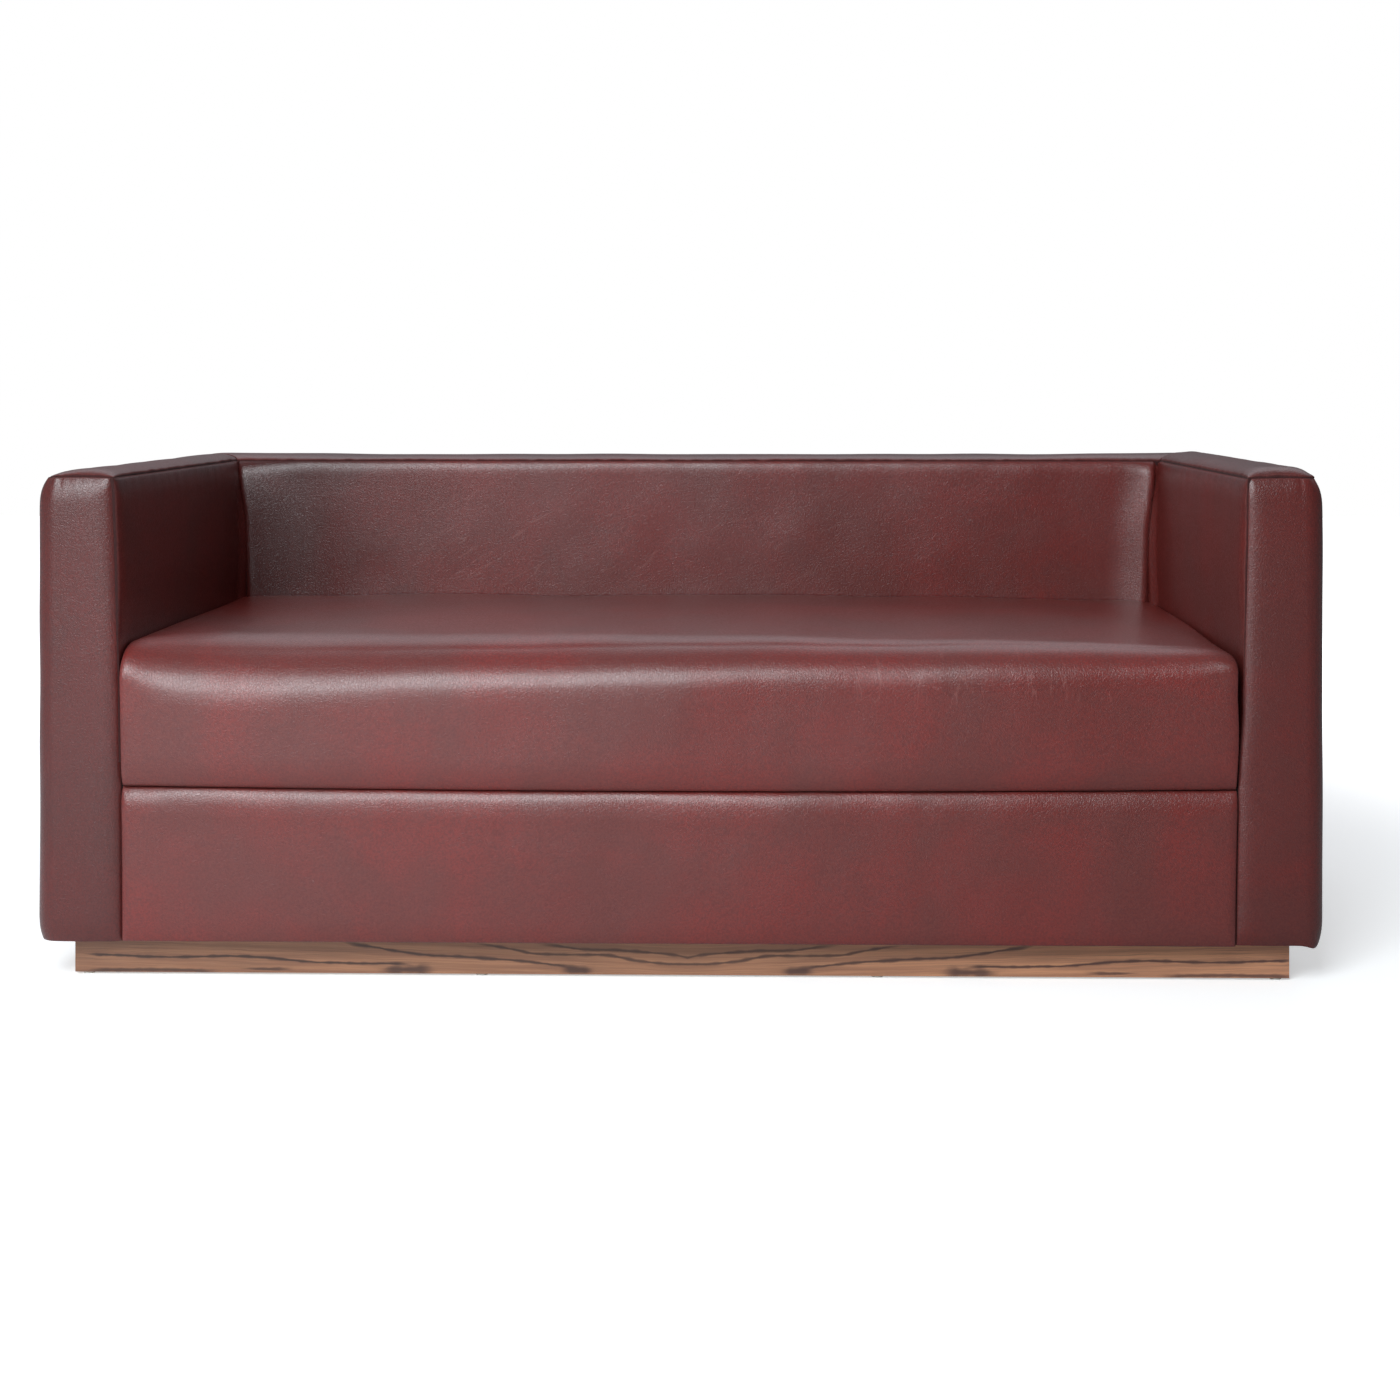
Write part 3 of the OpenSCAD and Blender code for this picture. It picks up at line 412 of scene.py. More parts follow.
def arm_inner_pad(side, name):
    """x = face - swell, over y (front to back) and z; the swell rolls out at the front and the top."""
    front, rear, low, high = -0.3690, 0.250, panel_foot, panel_top
    y, z = np.meshgrid(front + places(rear - front, 0.016, 0.006),
                       low + places(high - low, 0.034, 0.006), indexing="ij")
    from_front, from_top = y - front, high - z
    swell = 0.0012 + 0.0058 * ramp(z, 0.44, 0.56)
    swell = swell * rise(from_front, 0.022) * rise(from_top, 0.034)
    swell = swell + 0.0005 * ripple(y, z, 11 + side, 0.20) * rise(from_front, 0.05) * rise(from_top, 0.05)
    swell = swell + 0.0006 * pucker(y, from_top, 21 + side, 0.028, 0.02)
    swell = swell + 0.0003 * pucker(z, from_front, 31 + side)
    upper = ramp(0.680 - z, 0.0, 0.10)
    if side > 0:
        fold = np.exp(-((y - 0.2270) / 0.0075) ** 2)
        swell = swell + 0.0150 * fold * upper + 0.002 * ramp(y, 0.16, 0.222) * upper
    else:
        swell = swell + (0.0110 * ramp(y, 0.190, 0.232) + 0.0020) * upper * ramp(y, 0.12, 0.20)
    x = arm_face(side, z) - swell + turned_in(from_front) + turned_in(from_top)
    board_face, shy_front, shy_top = 0.7885, 0.008, 0.006
    inner = grid(side * board_face, rear - (rear - y) * (1.0 - shy_front / (rear - front)),
                 low + (z - low) * (1.0 - shy_top / (high - low)))
    label, hide = arm_lit_and_shaded_leathers[side]
    pad(name, grid(side * x, y, z), inner, np.minimum(from_front, from_top),
        [f"{label}_arm_inner_cover", f"{label}_arm_inner_foam"], hide)


arm_inner_pad(-1, "left_arm_inner_leather")
arm_inner_pad(1, "right_arm_inner_leather")


# Arms, outer side: one wide panel over wadding, sewn to the inner panel at the front, carried round
# the rounded upright edge and along the side, and drawn in at the top seam and under the foot.
def arm_outer_pad(side, name):
    """A path of front face, quarter round and side at each height, set in from its edges by depth."""
    half = 0.8825 if side < 0 else 0.8800
    edge, front, rear, high = 0.029, -0.374, 0.3738, panel_top
    low = 0.0545 if side < 0 else 0.0568
    seam_roll, seam_drop = (0.030, 0.0100) if side < 0 else (0.021, 0.0066)
    z = low + places(high - low, 0.034, 0.006)
    start = arm_face(side, z)[:, None]
    turn_x, turn_y = half - edge, front + edge
    face = places(1.0, 0.13, 0.07)[None, :]
    bend = np.linspace(0.0, quarter_turn, 15)[None, 1:-1]
    flank = places(rear - turn_y, 0.014, 0.007)[None, :]
    px = joined(start + (turn_x - start) * face, turn_x + edge * np.sin(bend), half + 0.0 * flank)
    py = joined(front + 0.0 * face, turn_y - edge * np.cos(bend), turn_y + flank)
    nx = joined(0.0 * face, np.sin(bend), 1.0 + 0.0 * flank)
    ny = joined(-1.0 + 0.0 * face, -np.cos(bend), 0.0 * flank)
    pz = z[:, None] * np.ones_like(px)
    from_seam = px - start
    from_rear = rear - py
    from_top, from_foot = high - pz, pz - low
    round_top = (1.0 - np.clip(from_top / 0.045, 0.0, 1.0)) ** 3
    round_foot = (1.0 - np.clip(from_foot / 0.040, 0.0, 1.0)) ** 3
    round_seam, round_rear = fall(from_seam, seam_roll), fall(from_rear, 0.014)
    drawn = 0.0080 + 0.0040 * nx
    depth = ((drawn * round_top) ** 2 + (0.0055 * round_foot) ** 2
             + (seam_drop * round_seam) ** 2 + (0.0045 * round_rear) ** 2) ** 0.5
    belly = 0.0016 * np.sin(math.pi * np.clip(from_seam / 0.10, 0, 1)) * rise(from_top, 0.05)
    front_width = 0.103
    run = joined(front_width * face, front_width + edge * bend, front_width + edge * quarter_turn + flank)
    wave = 0.0005 * ripple(run, pz, 41 + side, 0.20) * rise(from_top, 0.08)
    wave = wave + 0.0007 * pucker(run, from_top, 51 + side, 0.015, 0.016)
    wave = wave + 0.0004 * pucker(run, from_foot, 61 + side, 0.024, 0.018)
    wave = wave + 0.0004 * pucker(pz, np.abs(from_seam), 71 + side, 0.014, 0.006)
    depth = depth - belly - wave + turned_in(from_top) + turned_in(from_seam) + turned_in(from_rear)
    ox, oy, oz = px - nx * depth, py - ny * depth, pz.copy()
    if side > 0:
        corner = np.exp(-((ox - 0.864) ** 2 + (oy + 0.362) ** 2) / 0.012 ** 2)
        oz = oz - 0.005 * corner * (1.0 - ramp(pz, low, low + 0.02))
    crest = 0.0012 * np.sin(math.pi * np.clip(from_seam / 0.10, 0, 1)) * ramp(pz, 0.62, high)
    oz = oz + crest * (py < -0.3)
    core_front, core_side, core_round, shy_top = -0.3625, 0.8635, 0.013, 0.005
    core_x, core_y = core_side - core_round, core_front + core_round
    across = core_round * bend / quarter_turn
    ix = joined(start + (core_x - start) * face, core_x + across, core_side + 0.0 * flank)
    iy = joined(core_front + 0.0 * face, core_front + across,
                core_y + (rear - core_y) * flank / (rear - turn_y))
    inner = grid(side * ix, iy, low + (pz - low) * (1.0 - shy_top / (high - low)))
    seam = np.minimum(from_top, np.where(from_seam < 0.05, from_seam, from_rear))
    label, hide = arm_lit_and_shaded_leathers[side]
    pad(name, grid(side * ox, oy, oz), inner, seam,
        [f"{label}_arm_outer_cover", f"{label}_arm_outer_wadding"], hide)


arm_outer_pad(-1, "left_arm_outer_leather")
arm_outer_pad(1, "right_arm_outer_leather")


# Top bands: long strips over thick foam, sewn to the panels on both sides, so that they crown
# between their seams. The arms' strips meet the back's at a mitre.
band_in, band_out, band_front, band_rear, back_line = 0.774, 0.867, -0.366, 0.372, 0.236
seam_line, band_foot = 0.690, 0.6740
mitre_along, mitre_across = 0.56, 0.82  # a gap along Y or X as a distance square to the mitre


def crown(across, height):
    """Rise of a band between its seams: quarter rounds over a third of the width on both sides."""
    return height * rise(across, 0.34) * rise(1.0 - across, 0.34)


def arm_band(side, name):
    """z = seam + crown(across) rounded off at the front end; the rear end is cut at the mitre."""
    across = places(1.0, 0.12, 0.06)[:, None]
    along = places(1.0, 0.045, 0.009)[None, :]
    outmost = 0.8698 if side < 0 else 0.8680
    x = band_in + (outmost - band_in) * across + 0.0 * along
    corner = 0.026
    y0 = band_front + corner * fall(outmost - x, corner)
    y1 = back_line + (band_rear - back_line) * across + 0.0 * along
    y = y0 + (y1 - y0) * along
    wide = outmost - band_in
    from_side = np.minimum(across, 1.0 - across) * wide + 0.0 * along
    from_front, from_mitre = y - y0, (y1 - y) * mitre_along
    edge = nearest(from_side, from_front, from_mitre)
    height = 0.0112 - 0.0045 * ramp(across, 0.35, 1.0) if side < 0 else 0.0140 + 0.0012 * across
    height = height - 0.0022 * np.exp(-from_front / 0.03) * ramp(across, 0.5, 1.0)
    z = seam_line + crown(across, height) * rise(from_front, 0.040) * (0.75 + 0.25 * rise(from_mitre, 0.03))
    bow = 0.0022 * np.sin(math.pi * across) * (1.0 - ramp(y, band_front, band_front + 0.06))
    z = z + bow + 0.0004 * ripple(x, y, 81 + side, 0.15) * rise(from_side, 0.03)
    z = z + 0.0006 * pucker(y, across * wide, 91 + side)
    z = z + 0.0004 * pucker(y, (1 - across) * wide, 95 + side)
    z = z + 0.0005 * pucker(x, from_front, 99 + side, 0.014) - turned_in(edge)
    if side > 0:
        tip = np.exp(-((x - outmost) ** 2 + (y + 0.352) ** 2) / 0.006 ** 2)
        x, z = x + 0.0035 * tip, z + 0.0008 * tip
    middle, shy_front = 0.5 * (band_in + outmost), 0.009
    inner = grid(side * (middle + 0.84 * (x - middle)), y0 + shy_front + (y1 - y0 - shy_front) * along,
                 band_foot)
    label = arm_lit_and_shaded_leathers[side][0]
    pad(name, grid(side * x, y, z), inner, edge, [f"{label}_arm_top_band", f"{label}_arm_top_foam"])


arm_band(-1, "left_arm_top_leather")
arm_band(1, "right_arm_top_leather")


def back_band(name):
    """z = seam + crown(across), with both ends cut at the mitres."""
    across = places(1.0, 0.12, 0.05)[:, None]
    along = places(1.0, 0.02, 0.004)[None, :]
    reach = band_in + (band_out - band_in) * across - 0.0004
    x = reach * (2.0 * along - 1.0)
    y = back_line + (band_rear - back_line) * across + 0.0 * along
    wide = band_rear - back_line
    from_side = np.minimum(across, 1.0 - across) * wide + 0.0 * along
    edge = np.minimum(from_side, (reach - np.abs(x)) * mitre_across)
    height = 0.0085 + 0.0030 * np.abs(2.0 * along - 1.0) ** 4 - 0.0010 * (1.0 - along)
    z = seam_line + crown(across, 1.0) * height * (0.75 + 0.25 * rise(reach - np.abs(x), 0.03))
    z = z + 0.0005 * ripple(x, y, 107, 0.22) * rise(from_side, 0.03)
    z = z + 0.0006 * pucker(x, across * wide, 108) + 0.0006 * pucker(x, (1 - across) * wide, 109)
    z = z - turned_in(edge)
    middle = 0.5 * (back_line + band_rear)
    inner = grid(0.995 * x, middle + 0.9 * (y - middle), band_foot)
    pad(name, grid(x, y, z), inner, edge, ["back_top_band", "back_top_foam"])


back_band("back_top_leather")


# Back, inner side: a long panel over the thickest foam. It rolls back to the top seam and down into
# the two corners, and is marked by fine pale pull lines that run up to the right.
# Its dye is set lighter than the plain leather as painted light, and its left end fades to 0.44 of its dye
# and polish as painted shade of the left arm.
back_leather = leather("oxblood leather, back", 0.95, [
    ((0.0, 0.60, 0.0), (5.0, 9.0, 38.0), 0.015, (-0.30, 0.23, 0.56), (0.42, 0.3, 0.13), 0.17),
    ((0.0, 0.35, 0.0), (4.0, 9.0, 30.0), 0.012, (0.25, 0.23, 0.56), (0.60, 0.3, 0.16), 0.09),
], painted_shade_share=0.44)


def resampled(values, rows, columns, shape):
    """A coarse grid of vectors spread over a fine one: a linear weight of every coarse row and column."""
    tall, wide = (np.stack([np.interp(np.arange(count), knots, one) for one in np.eye(len(knots))], 1)
                  for count, knots in zip(shape, (rows, columns)))
    return np.einsum("ia,abk,jb->ijk", tall, values, wide)


def settled(outer, calm, outwards, slack, sunk=0.0010, cap=0.0040):
    """The panel after a cloth run: cut with some slack, sewn down at its edges and blown out from a
    shape sunk by a millimetre; the hide's stiffness evens the movement out over its neighbours, and no
    point moves further than the cap."""
    n, m = calm.shape
    every, moments, passes, support = 3, 20, 6, 0.35
    rows, columns = (np.unique(np.append(np.arange(0, k, every), k - 1)) for k in (n, m))
    coarse, soft = outer[np.ix_(rows, columns)], calm[np.ix_(rows, columns)]
    normal = np.cross(np.gradient(coarse, axis=0), np.gradient(coarse, axis=1))
    facing = np.sign((normal @ np.array(outwards)).sum())
    normal = facing * normal / np.linalg.norm(normal, axis=2, keepdims=True)
    start = coarse - normal * sunk * soft[..., None]
    index = np.arange(soft.size).reshape(soft.shape)
    faces = np.stack([index[:-1, :-1], index[1:, :-1], index[1:, 1:], index[:-1, 1:]], -1).reshape(-1, 4)
    faces = faces if facing > 0.0 else faces[:, ::-1]
    mesh = bpy.data.meshes.new("cloth run")
    mesh.from_pydata(start.reshape(-1, 3).tolist(), [], faces.tolist())
    sheet = placed("cloth run", mesh)
    held = sheet.vertex_groups.new(name="held")
    sewn = np.ones(soft.shape, dtype=bool)
    sewn[1:-1, 1:-1] = soft[1:-1, 1:-1] < 0.02
    held.add(index[~sewn].tolist(), support, "REPLACE")
    held.add(index[sewn].tolist(), 1.0, "REPLACE")
    cloth = sheet.modifiers.new("cloth", "CLOTH")
    for setting, value in (("quality", 6), ("mass", 0.25), ("tension_stiffness", 40.0),
                           ("compression_stiffness", 40.0), ("bending_stiffness", 30.0),
                           ("vertex_group_mass", "held"), ("pin_stiffness", 3.0), ("use_pressure", True),
                           ("uniform_pressure_force", 4.0), ("shrink_min", -slack)):
        setattr(cloth.settings, setting, value)
    cloth.settings.effector_weights.gravity = 0.0
    cloth.collision_settings.use_collision = False
    for moment in range(1, moments + 1):
        bpy.context.scene.frame_set(moment)
    run = sheet.evaluated_get(bpy.context.evaluated_depsgraph_get())
    points = np.empty(start.size, dtype=np.float32)
    run.data.vertices.foreach_get("co", points)
    moved = points.reshape(start.shape) - coarse
    for _ in range(passes):
        near = np.pad(moved, ((1, 1), (1, 1), (0, 0)), "edge")
        moved = sum(near[i:i + len(rows), j:j + len(columns)] for i in range(3) for j in range(3)) / 9.0
    length = np.maximum(np.linalg.norm(moved, axis=2, keepdims=True), 1e-9)
    moved = moved * cap * np.tanh(length / cap) / length
    bpy.data.objects.remove(sheet)
    bpy.context.scene.frame_set(1)
    return outer + resampled(moved, rows, columns, (n, m)) * calm[..., None]


def back_pad(name):
    """y = face + roll-in at the top and both ends, over x (arm to arm) and z; the right end swells."""
    low, high = panel_foot, panel_top
    share = places(1.0, 0.034, 0.004)[:, None]
    z = (low + places(high - low, 0.030, 0.006))[None, :]
    left = -(arm_face(-1, z) - 0.0040 - 0.0100 * ramp(0.686 - z, 0.0, 0.10))
    right = arm_face(1, z) - 0.0048 + 0.0 * z
    x = left + (right - left) * share
    z = z + 0.0 * share
    from_left, from_right, from_top = x - left, right - x, high - z
    tuck = 0.005 + 0.0095 * ramp(0.686 - z, 0.0, 0.12)
    ends = rise(from_left, 0.014) * rise(from_right - tuck, 0.010)
    y = back_line + 0.0005 - 0.0080 * rise(from_top, 0.024) * ends
    y = y + 0.008 * fall(from_right - tuck, 0.006) + 0.003 * fall(from_left, 0.014)
    y = y - 0.0150 * np.clip((0.068 + tuck - from_right) / 0.062, 0.0, 1.0) ** 2 * rise(from_top, 0.08)
    y = y - 0.0190 * np.clip((0.135 - from_left) / 0.130, 0.0, 1.0) ** 2 * rise(from_top, 0.08)
    calm = rise(from_left, 0.06) * rise(from_right, 0.08)
    y = y - 0.0014 * ripple(x, z, 113, 0.42) * calm - 0.0004 * ripple(x, z, 114, 0.12) * calm
    y = y - 0.0004 * pucker(x, from_top, 115, 0.060, 0.018)
    edge = nearest(from_left, from_right, from_top)
    y = y + turned_in(edge)
    held = rise(nearest(from_left, from_right - 0.02, from_top), 0.05)
    above_seat, board_face = ramp(z, 0.44, 0.47), 0.2825
    outer = settled(grid(x, y, z), held * above_seat, (0.0, -1.0, 0.0), 0.0, cap=0.0015)
    pad(name, outer, grid(x, board_face, z), edge, ["back_inner_cover", "back_foam"], back_leather)


back_pad("back_inner_leather")


# Back, outer side: one plain panel the full width of the sofa over wadding, drawn in at its edges.
# It is out of sight in the photograph.
def back_outer_pad(name):
    """y = rear plane - depth, over x and z; the depth grows to the seams on all sides."""
    low, high = 0.0550, 0.6893
    share = places(1.0, 0.010, 0.0045)[:, None]
    z = (low + places(high - low, 0.034, 0.008))[None, :]
    round_top, round_foot = fall(high - z, 0.030), fall(z - low, 0.040)
    half = 0.8755 - 0.0070 * round_top - 0.0040 * round_foot
    x = half * (2.0 * share - 1.0)
    z = z + 0.0 * share
    from_side = half - np.abs(x)
    depth = ((0.0085 * round_top) ** 3 + (0.0085 * round_foot) ** 3
             + (0.0045 * fall(from_side, 0.016)) ** 3) ** (1 / 3)
    calm = rise(from_side, 0.1) * rise(high - z, 0.1) * rise(z - low, 0.1)
    depth = depth - 0.0010 * ripple(x, z, 121, 0.40) * calm
    depth = depth - 0.0006 * pucker(x, high - z, 122) - 0.0004 * pucker(x, z - low, 123, 0.026, 0.02)
    edge = np.minimum(from_side, high - z)
    rear, board_face = 0.380, 0.3690
    outer, inner = grid(x, rear - depth - turned_in(edge), z), grid(x * 0.985, board_face, z)
    pad(name, outer, inner, edge, ["back_outer_cover", "back_outer_wadding"])


back_outer_pad("back_outer_leather")


# Seat: one bench pad of firm foam in a single cover that runs up the front, over a soft rounded edge
# and back to the face of the back. It is crowned, and drawn down beside the arms, more at the right.
# Its dye is set lighter than the plain leather: painted light.
seat_leather = leather("oxblood leather, seat", 1.1, [
    ((0.25, 0.0, 0.0), (46.0, 9.0, 7.0), 0.014, (0.42, -0.376, 0.415), (0.34, 0.09, 0.055), 0.15),
], polish=0.46)
seat_half, joint_gap = 0.765, 0.0003


def joint_line(x):
    """Height of the joint between the seat and the border, a little lower in the middle."""
    return 0.2675 - 0.0050 * (1.0 - np.clip(x / 0.76, -1.0, 1.0) ** 2)


def seat_pad(name):
    """A profile of upright face, quarter superellipse and top carried from arm to arm, with a crown."""
    front, rear, top = -0.3805, 0.2265, 0.4620
    share = places(1.0, 0.022, 0.0042)[:, None]
    rough = seat_half * (2.0 * share - 1.0)
    corner = np.exp(-((seat_half - np.abs(rough)) / 0.050) ** 1.4) * np.where(rough < 0.0, 1.0, 0.72)
    tighter = 1.12 - 0.60 * share
    reach, drop = (0.118 - 0.066 * corner) * tighter, (0.096 - 0.052 * corner) * tighter
    power = 2.4 - 0.4 * corner
    foot = joint_line(rough) + joint_gap
    face = places(1.0, 0.30, 0.06)
    face = np.append(face[face < 0.31], np.linspace(0.31, 1.0, 14)[1:])[None, :]
    turn = np.linspace(0.0, quarter_turn, 41)[None, 1:]
    out, up = np.cos(turn) ** (2 / power), np.sin(turn) ** (2 / power)
    deck = np.linspace(0.0, 1.0, 84)[None, 1:]
    py = joined(front + 0.0 * face, front + reach * (1.0 - out),
                front + reach + (rear - front - reach) * deck)
    pz = joined(foot + (top - drop - foot) * face, top - drop + drop * up, top + 0.0 * deck)
    slope_y, slope_z = out ** (power - 1.0) / reach, up ** (power - 1.0) / drop
    size = np.hypot(slope_y, slope_z)
    ny = joined(-1.0 + 0.0 * face, -slope_y / size, 0.0 * deck)
    nz = joined(0.0 * face, slope_z / size, 1.0 + 0.0 * deck)
    arm_gap = 0.0030
    left = -(arm_face(-1, pz) - arm_gap)
    right = arm_face(1, pz) - arm_gap - 0.0065 * ramp(pz, 0.30, 0.40) * ramp(-py, -0.05, 0.30)
    x = left + (right - left) * share
    from_left, from_right, from_joint = x - left, right - x, pz - foot
    on_front = 1.0 - ramp(nz, 0.3, 0.9)
    sunk_left = (0.0030 + 0.0040 * nz) * fall(from_left, 0.024 - 0.012 * on_front)
    sunk_right = 0.0035 + (0.0080 + 0.0050 * ramp(-py, 0.0, 0.3)) * nz
    sunk_right = sunk_right * fall(from_right, 0.048 - 0.034 * on_front)
    sunk_joint = on_front * 0.0125 * fall(from_joint, 0.046)
    depth = (sunk_left ** 2 + sunk_right ** 2 + sunk_joint ** 2) ** 0.5
    back_share = np.clip((py - front - 0.05) / (rear - front), 0.0, 1.0)
    swell = 0.0090 * (1.0 - np.abs(x / seat_half) ** 3.0) * rise(back_share, 0.42)
    swell = swell * (1.0 - 0.6 * back_share ** 3)
    tilt = -0.0035 * ramp(x, 0.1, 0.7) + 0.002 * ramp(-x, 0.3, 0.7)
    calm = rise(from_left, 0.06) * rise(from_right, 0.06) * rise(from_joint, 0.05)
    run = from_joint + (py - front)
    wave = (0.0012 * ripple(x, run, 131, 0.36) + 0.0003 * ripple(x, run, 132, 0.11)) * calm
    wave = wave + 0.0003 * on_front * pucker(x, from_joint, 133, 0.050, 0.020)
    ruck = np.exp(-((x - 0.45) / 0.26) ** 2) * np.exp(-((pz - 0.418) / 0.03) ** 2)
    wave = wave + 0.00008 * ruck * ripple(x, 0.2 * pz, 134, 0.022, 7)
    edge_gap = nearest(from_left, from_right, np.where(nz < 0.1, from_joint, 1.0))
    depth = depth - wave + turned_in(edge_gap)
    y = py - ny * depth
    z = pz - nz * depth + swell + tilt * ramp(pz, 0.36, 0.45)
    held = rise(nearest(from_left, from_right, from_joint), 0.05) * rise(rear - py, 0.06)
    outer = settled(grid(x, y, z), held, (0.0, -0.7, 0.7), 0.0002)
    core_front, core_rear, core_reach, core_top, core_drop = -0.340, 0.215, 0.030, 0.405, 0.020
    core_y = joined(core_front + 0.0 * face, core_front + core_reach * (1.0 - out),
                    core_front + core_reach + (core_rear - core_front - core_reach) * deck)
    core_z = joined(foot + (core_top - core_drop - foot) * face, core_top - core_drop + core_drop * up,
                    core_top + 0.0 * deck)
    inner = grid(x, core_y, core_z)
    pad(name, outer, inner, edge_gap, ["seat_cover", "seat_foam"], seat_leather)


seat_pad("seat_leather")


# Border: the padded panel under the seat, sewn to it along the joint and pulled under the frame. It
# swells most along its upper edge.
# Its dye is set lighter than the plain leather: painted light.
border_leather = leather("oxblood leather, border", 1.1, polish=0.48)


def border_pad(name):
    """y = front plane - swell, over x (arm to arm) and z, rolling in at the joint and at the foot."""
    low, half, front, foam_back, arm_gap = 0.0560, 0.762, -0.3690, -0.3605, 0.0010
    share = places(1.0, 0.016, 0.0045)[:, None]
    level = places(1.0, 0.13, 0.03)[None, :]
    rough = half * (2.0 * share - 1.0)
    high = joint_line(rough) - joint_gap
    z = low + (high - low) * level
    left, right = -(arm_face(-1, z) - arm_gap), arm_face(1, z) - arm_gap
    x = left + (right - left) * share
    from_left, from_right, from_top, from_foot = x - left, right - x, high - z, z - low
    sunk = ((0.0140 * fall(from_top, 0.038)) ** 2 + (0.006 * fall(from_left, 0.012)) ** 2
            + (0.006 * fall(from_right, 0.014)) ** 2 + (0.004 * fall(from_foot, 0.03)) ** 2) ** 0.5
    swell = 0.0075 - sunk + 0.0008 * np.exp(-((from_top - 0.03) / 0.016) ** 2)
    calm = rise(from_left, 0.05) * rise(from_right, 0.05) * rise(from_top, 0.04) * rise(from_foot, 0.06)
    swell = swell + (0.0010 * ripple(x, z, 141, 0.34) + 0.0003 * ripple(x, z, 142, 0.10)) * calm
    swell = swell + 0.0003 * pucker(x, from_top, 143, 0.055, 0.020)
    pinch = np.exp(-((x + 0.757) / 0.006) ** 2) + 0.6 * np.exp(-((x + 0.735) / 0.008) ** 2)
    swell = swell - 0.0010 * pinch * np.exp(-from_top / 0.01)
    edge = nearest(from_left, from_right, from_top)
    outer, inner = grid(x, front - swell + turned_in(edge), z), grid(x, foam_back, z)
    pad(name, outer, inner, edge, ["border_cover", "border_foam"], border_leather)


border_pad("border_leather")


# Base cloth: a thin black woven cloth pulled tight and tacked under the frame, which keeps dust out.
# It sags by a millimetre or two between the floor rails.
weave, tree, shader = finish_of("black base cloth", roughness=0.9)
place = object_point(tree)
warp = put(tree, "TexWave", bands_direction="X", Vector=place, Scale=160.0)
weft = put(tree, "TexWave", bands_direction="Y", Vector=place, Scale=160.0)
cross = sums(tree, "MULTIPLY", warp.outputs["Fac"], weft.outputs["Fac"])
feed(tree, shader, Base_Color=blended(tree, cross, rgb(20, 20, 22), rgb(46, 46, 48)))
bumped(tree, shader, 0.5, 0.0003, cross)


def base_cloth(name):
    """z = underside of the frame - sag between the rails, over x and y; one closed sheet 1 mm thick."""
    (x0, y0, _), (x1, y1, _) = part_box("dust_cover")
    x, y = np.meshgrid(np.linspace(x0, x1, 171), np.linspace(y0, y1, 71), indexing="ij")
    inset = nearest(x - x0, x1 - x, y - y0, y1 - y)
    frame_foot, thickness, rail_pitch = 0.0570, 0.0009, 0.39
    sag = 0.0018 * rise(inset, 0.12) * (0.6 + 0.4 * np.cos(2 * math.pi * x / rail_pitch))
    top = frame_foot - sag
    piece = closed(name, grid(x, y, top), grid(x, y, top - thickness), weave, smooth=False)
    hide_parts("dust_cover")
    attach(piece, "root")


base_cloth("base_cloth")


# Plinth: boards on edge with bearers and glued blocks inside, faced on all four sides with leaves of
# a brown streaked veneer. The two front leaves are mirrored at a joint just right of the middle.
wear(["plinth_front_board", "plinth_back_board"],
     plain_wood("plinth board, grain across", rgb(204, 172, 128), rgb(178, 144, 102), along_x))
wear(["plinth_left_board", "plinth_right_board", "plinth_bearers", "plinth_corner_blocks"],
     plain_wood("plinth board, grain front to back", rgb(204, 172, 128), rgb(178, 144, 102), along_y))

# Each dark streak: (distance from the joint, height) in metres along it, half thickness, ends faded
# over this length, strength. The knots are streaks too, short and thick.
streaks = [
    ([(0.0, 0.0177), (0.032, 0.0184), (0.062, 0.0210), (0.092, 0.0264), (0.123, 0.0303), (0.168, 0.0297),
      (0.214, 0.0320), (0.238, 0.0365), (0.284, 0.0440), (0.31, 0.049)], 0.0015, 0.05, 0.85),
    ([(0.0, 0.0274), (0.047, 0.0332), (0.092, 0.0361), (0.144, 0.0379), (0.186, 0.0430), (0.22, 0.050)],
     0.0016, 0.05, 0.8),
    ([(0.14, 0.0120), (0.165, 0.0140), (0.198, 0.0175), (0.226, 0.0205), (0.274, 0.0242), (0.356, 0.0285),
      (0.396, 0.0329), (0.441, 0.0403), (0.4645, 0.0440), (0.49, 0.050)], 0.0016, 0.04, 0.9),
    ([(0.375, 0.0110), (0.396, 0.0162), (0.456, 0.0165), (0.517, 0.0183), (0.547, 0.0202), (0.577, 0.0231),
      (0.608, 0.0255), (0.668, 0.0249), (0.729, 0.0241), (0.790, 0.0263), (0.843, 0.0273)],
     0.0014, 0.03, 0.95),
    ([(0.126, 0.0085), (0.150, 0.0090), (0.178, 0.0085)], 0.0042, 0.016, 0.85),
    ([(0.345, 0.0075), (0.380, 0.0085), (0.432, 0.0060)], 0.0038, 0.025, 0.85),
    ([(0.540, 0.0075), (0.580, 0.0084), (0.625, 0.0080)], 0.0016, 0.03, 0.8),
    ([(0.640, 0.0040), (0.700, 0.0058), (0.760, 0.0062), (0.850, 0.0040)], 0.0019, 0.04, 0.8),
]
veneer_group, g_in, g_out = node_group(
    "streaked veneer",
    {"Along": ("NodeSocketFloat", 0.0), "Up": ("NodeSocketFloat", 0.0), "Seed": ("NodeSocketFloat", 0.0)},
    {"Color": "NodeSocketColor", "Pores": "NodeSocketFloat"},
)
along, up, seed = (g_in.outputs[k] for k in ("Along", "Up", "Seed"))


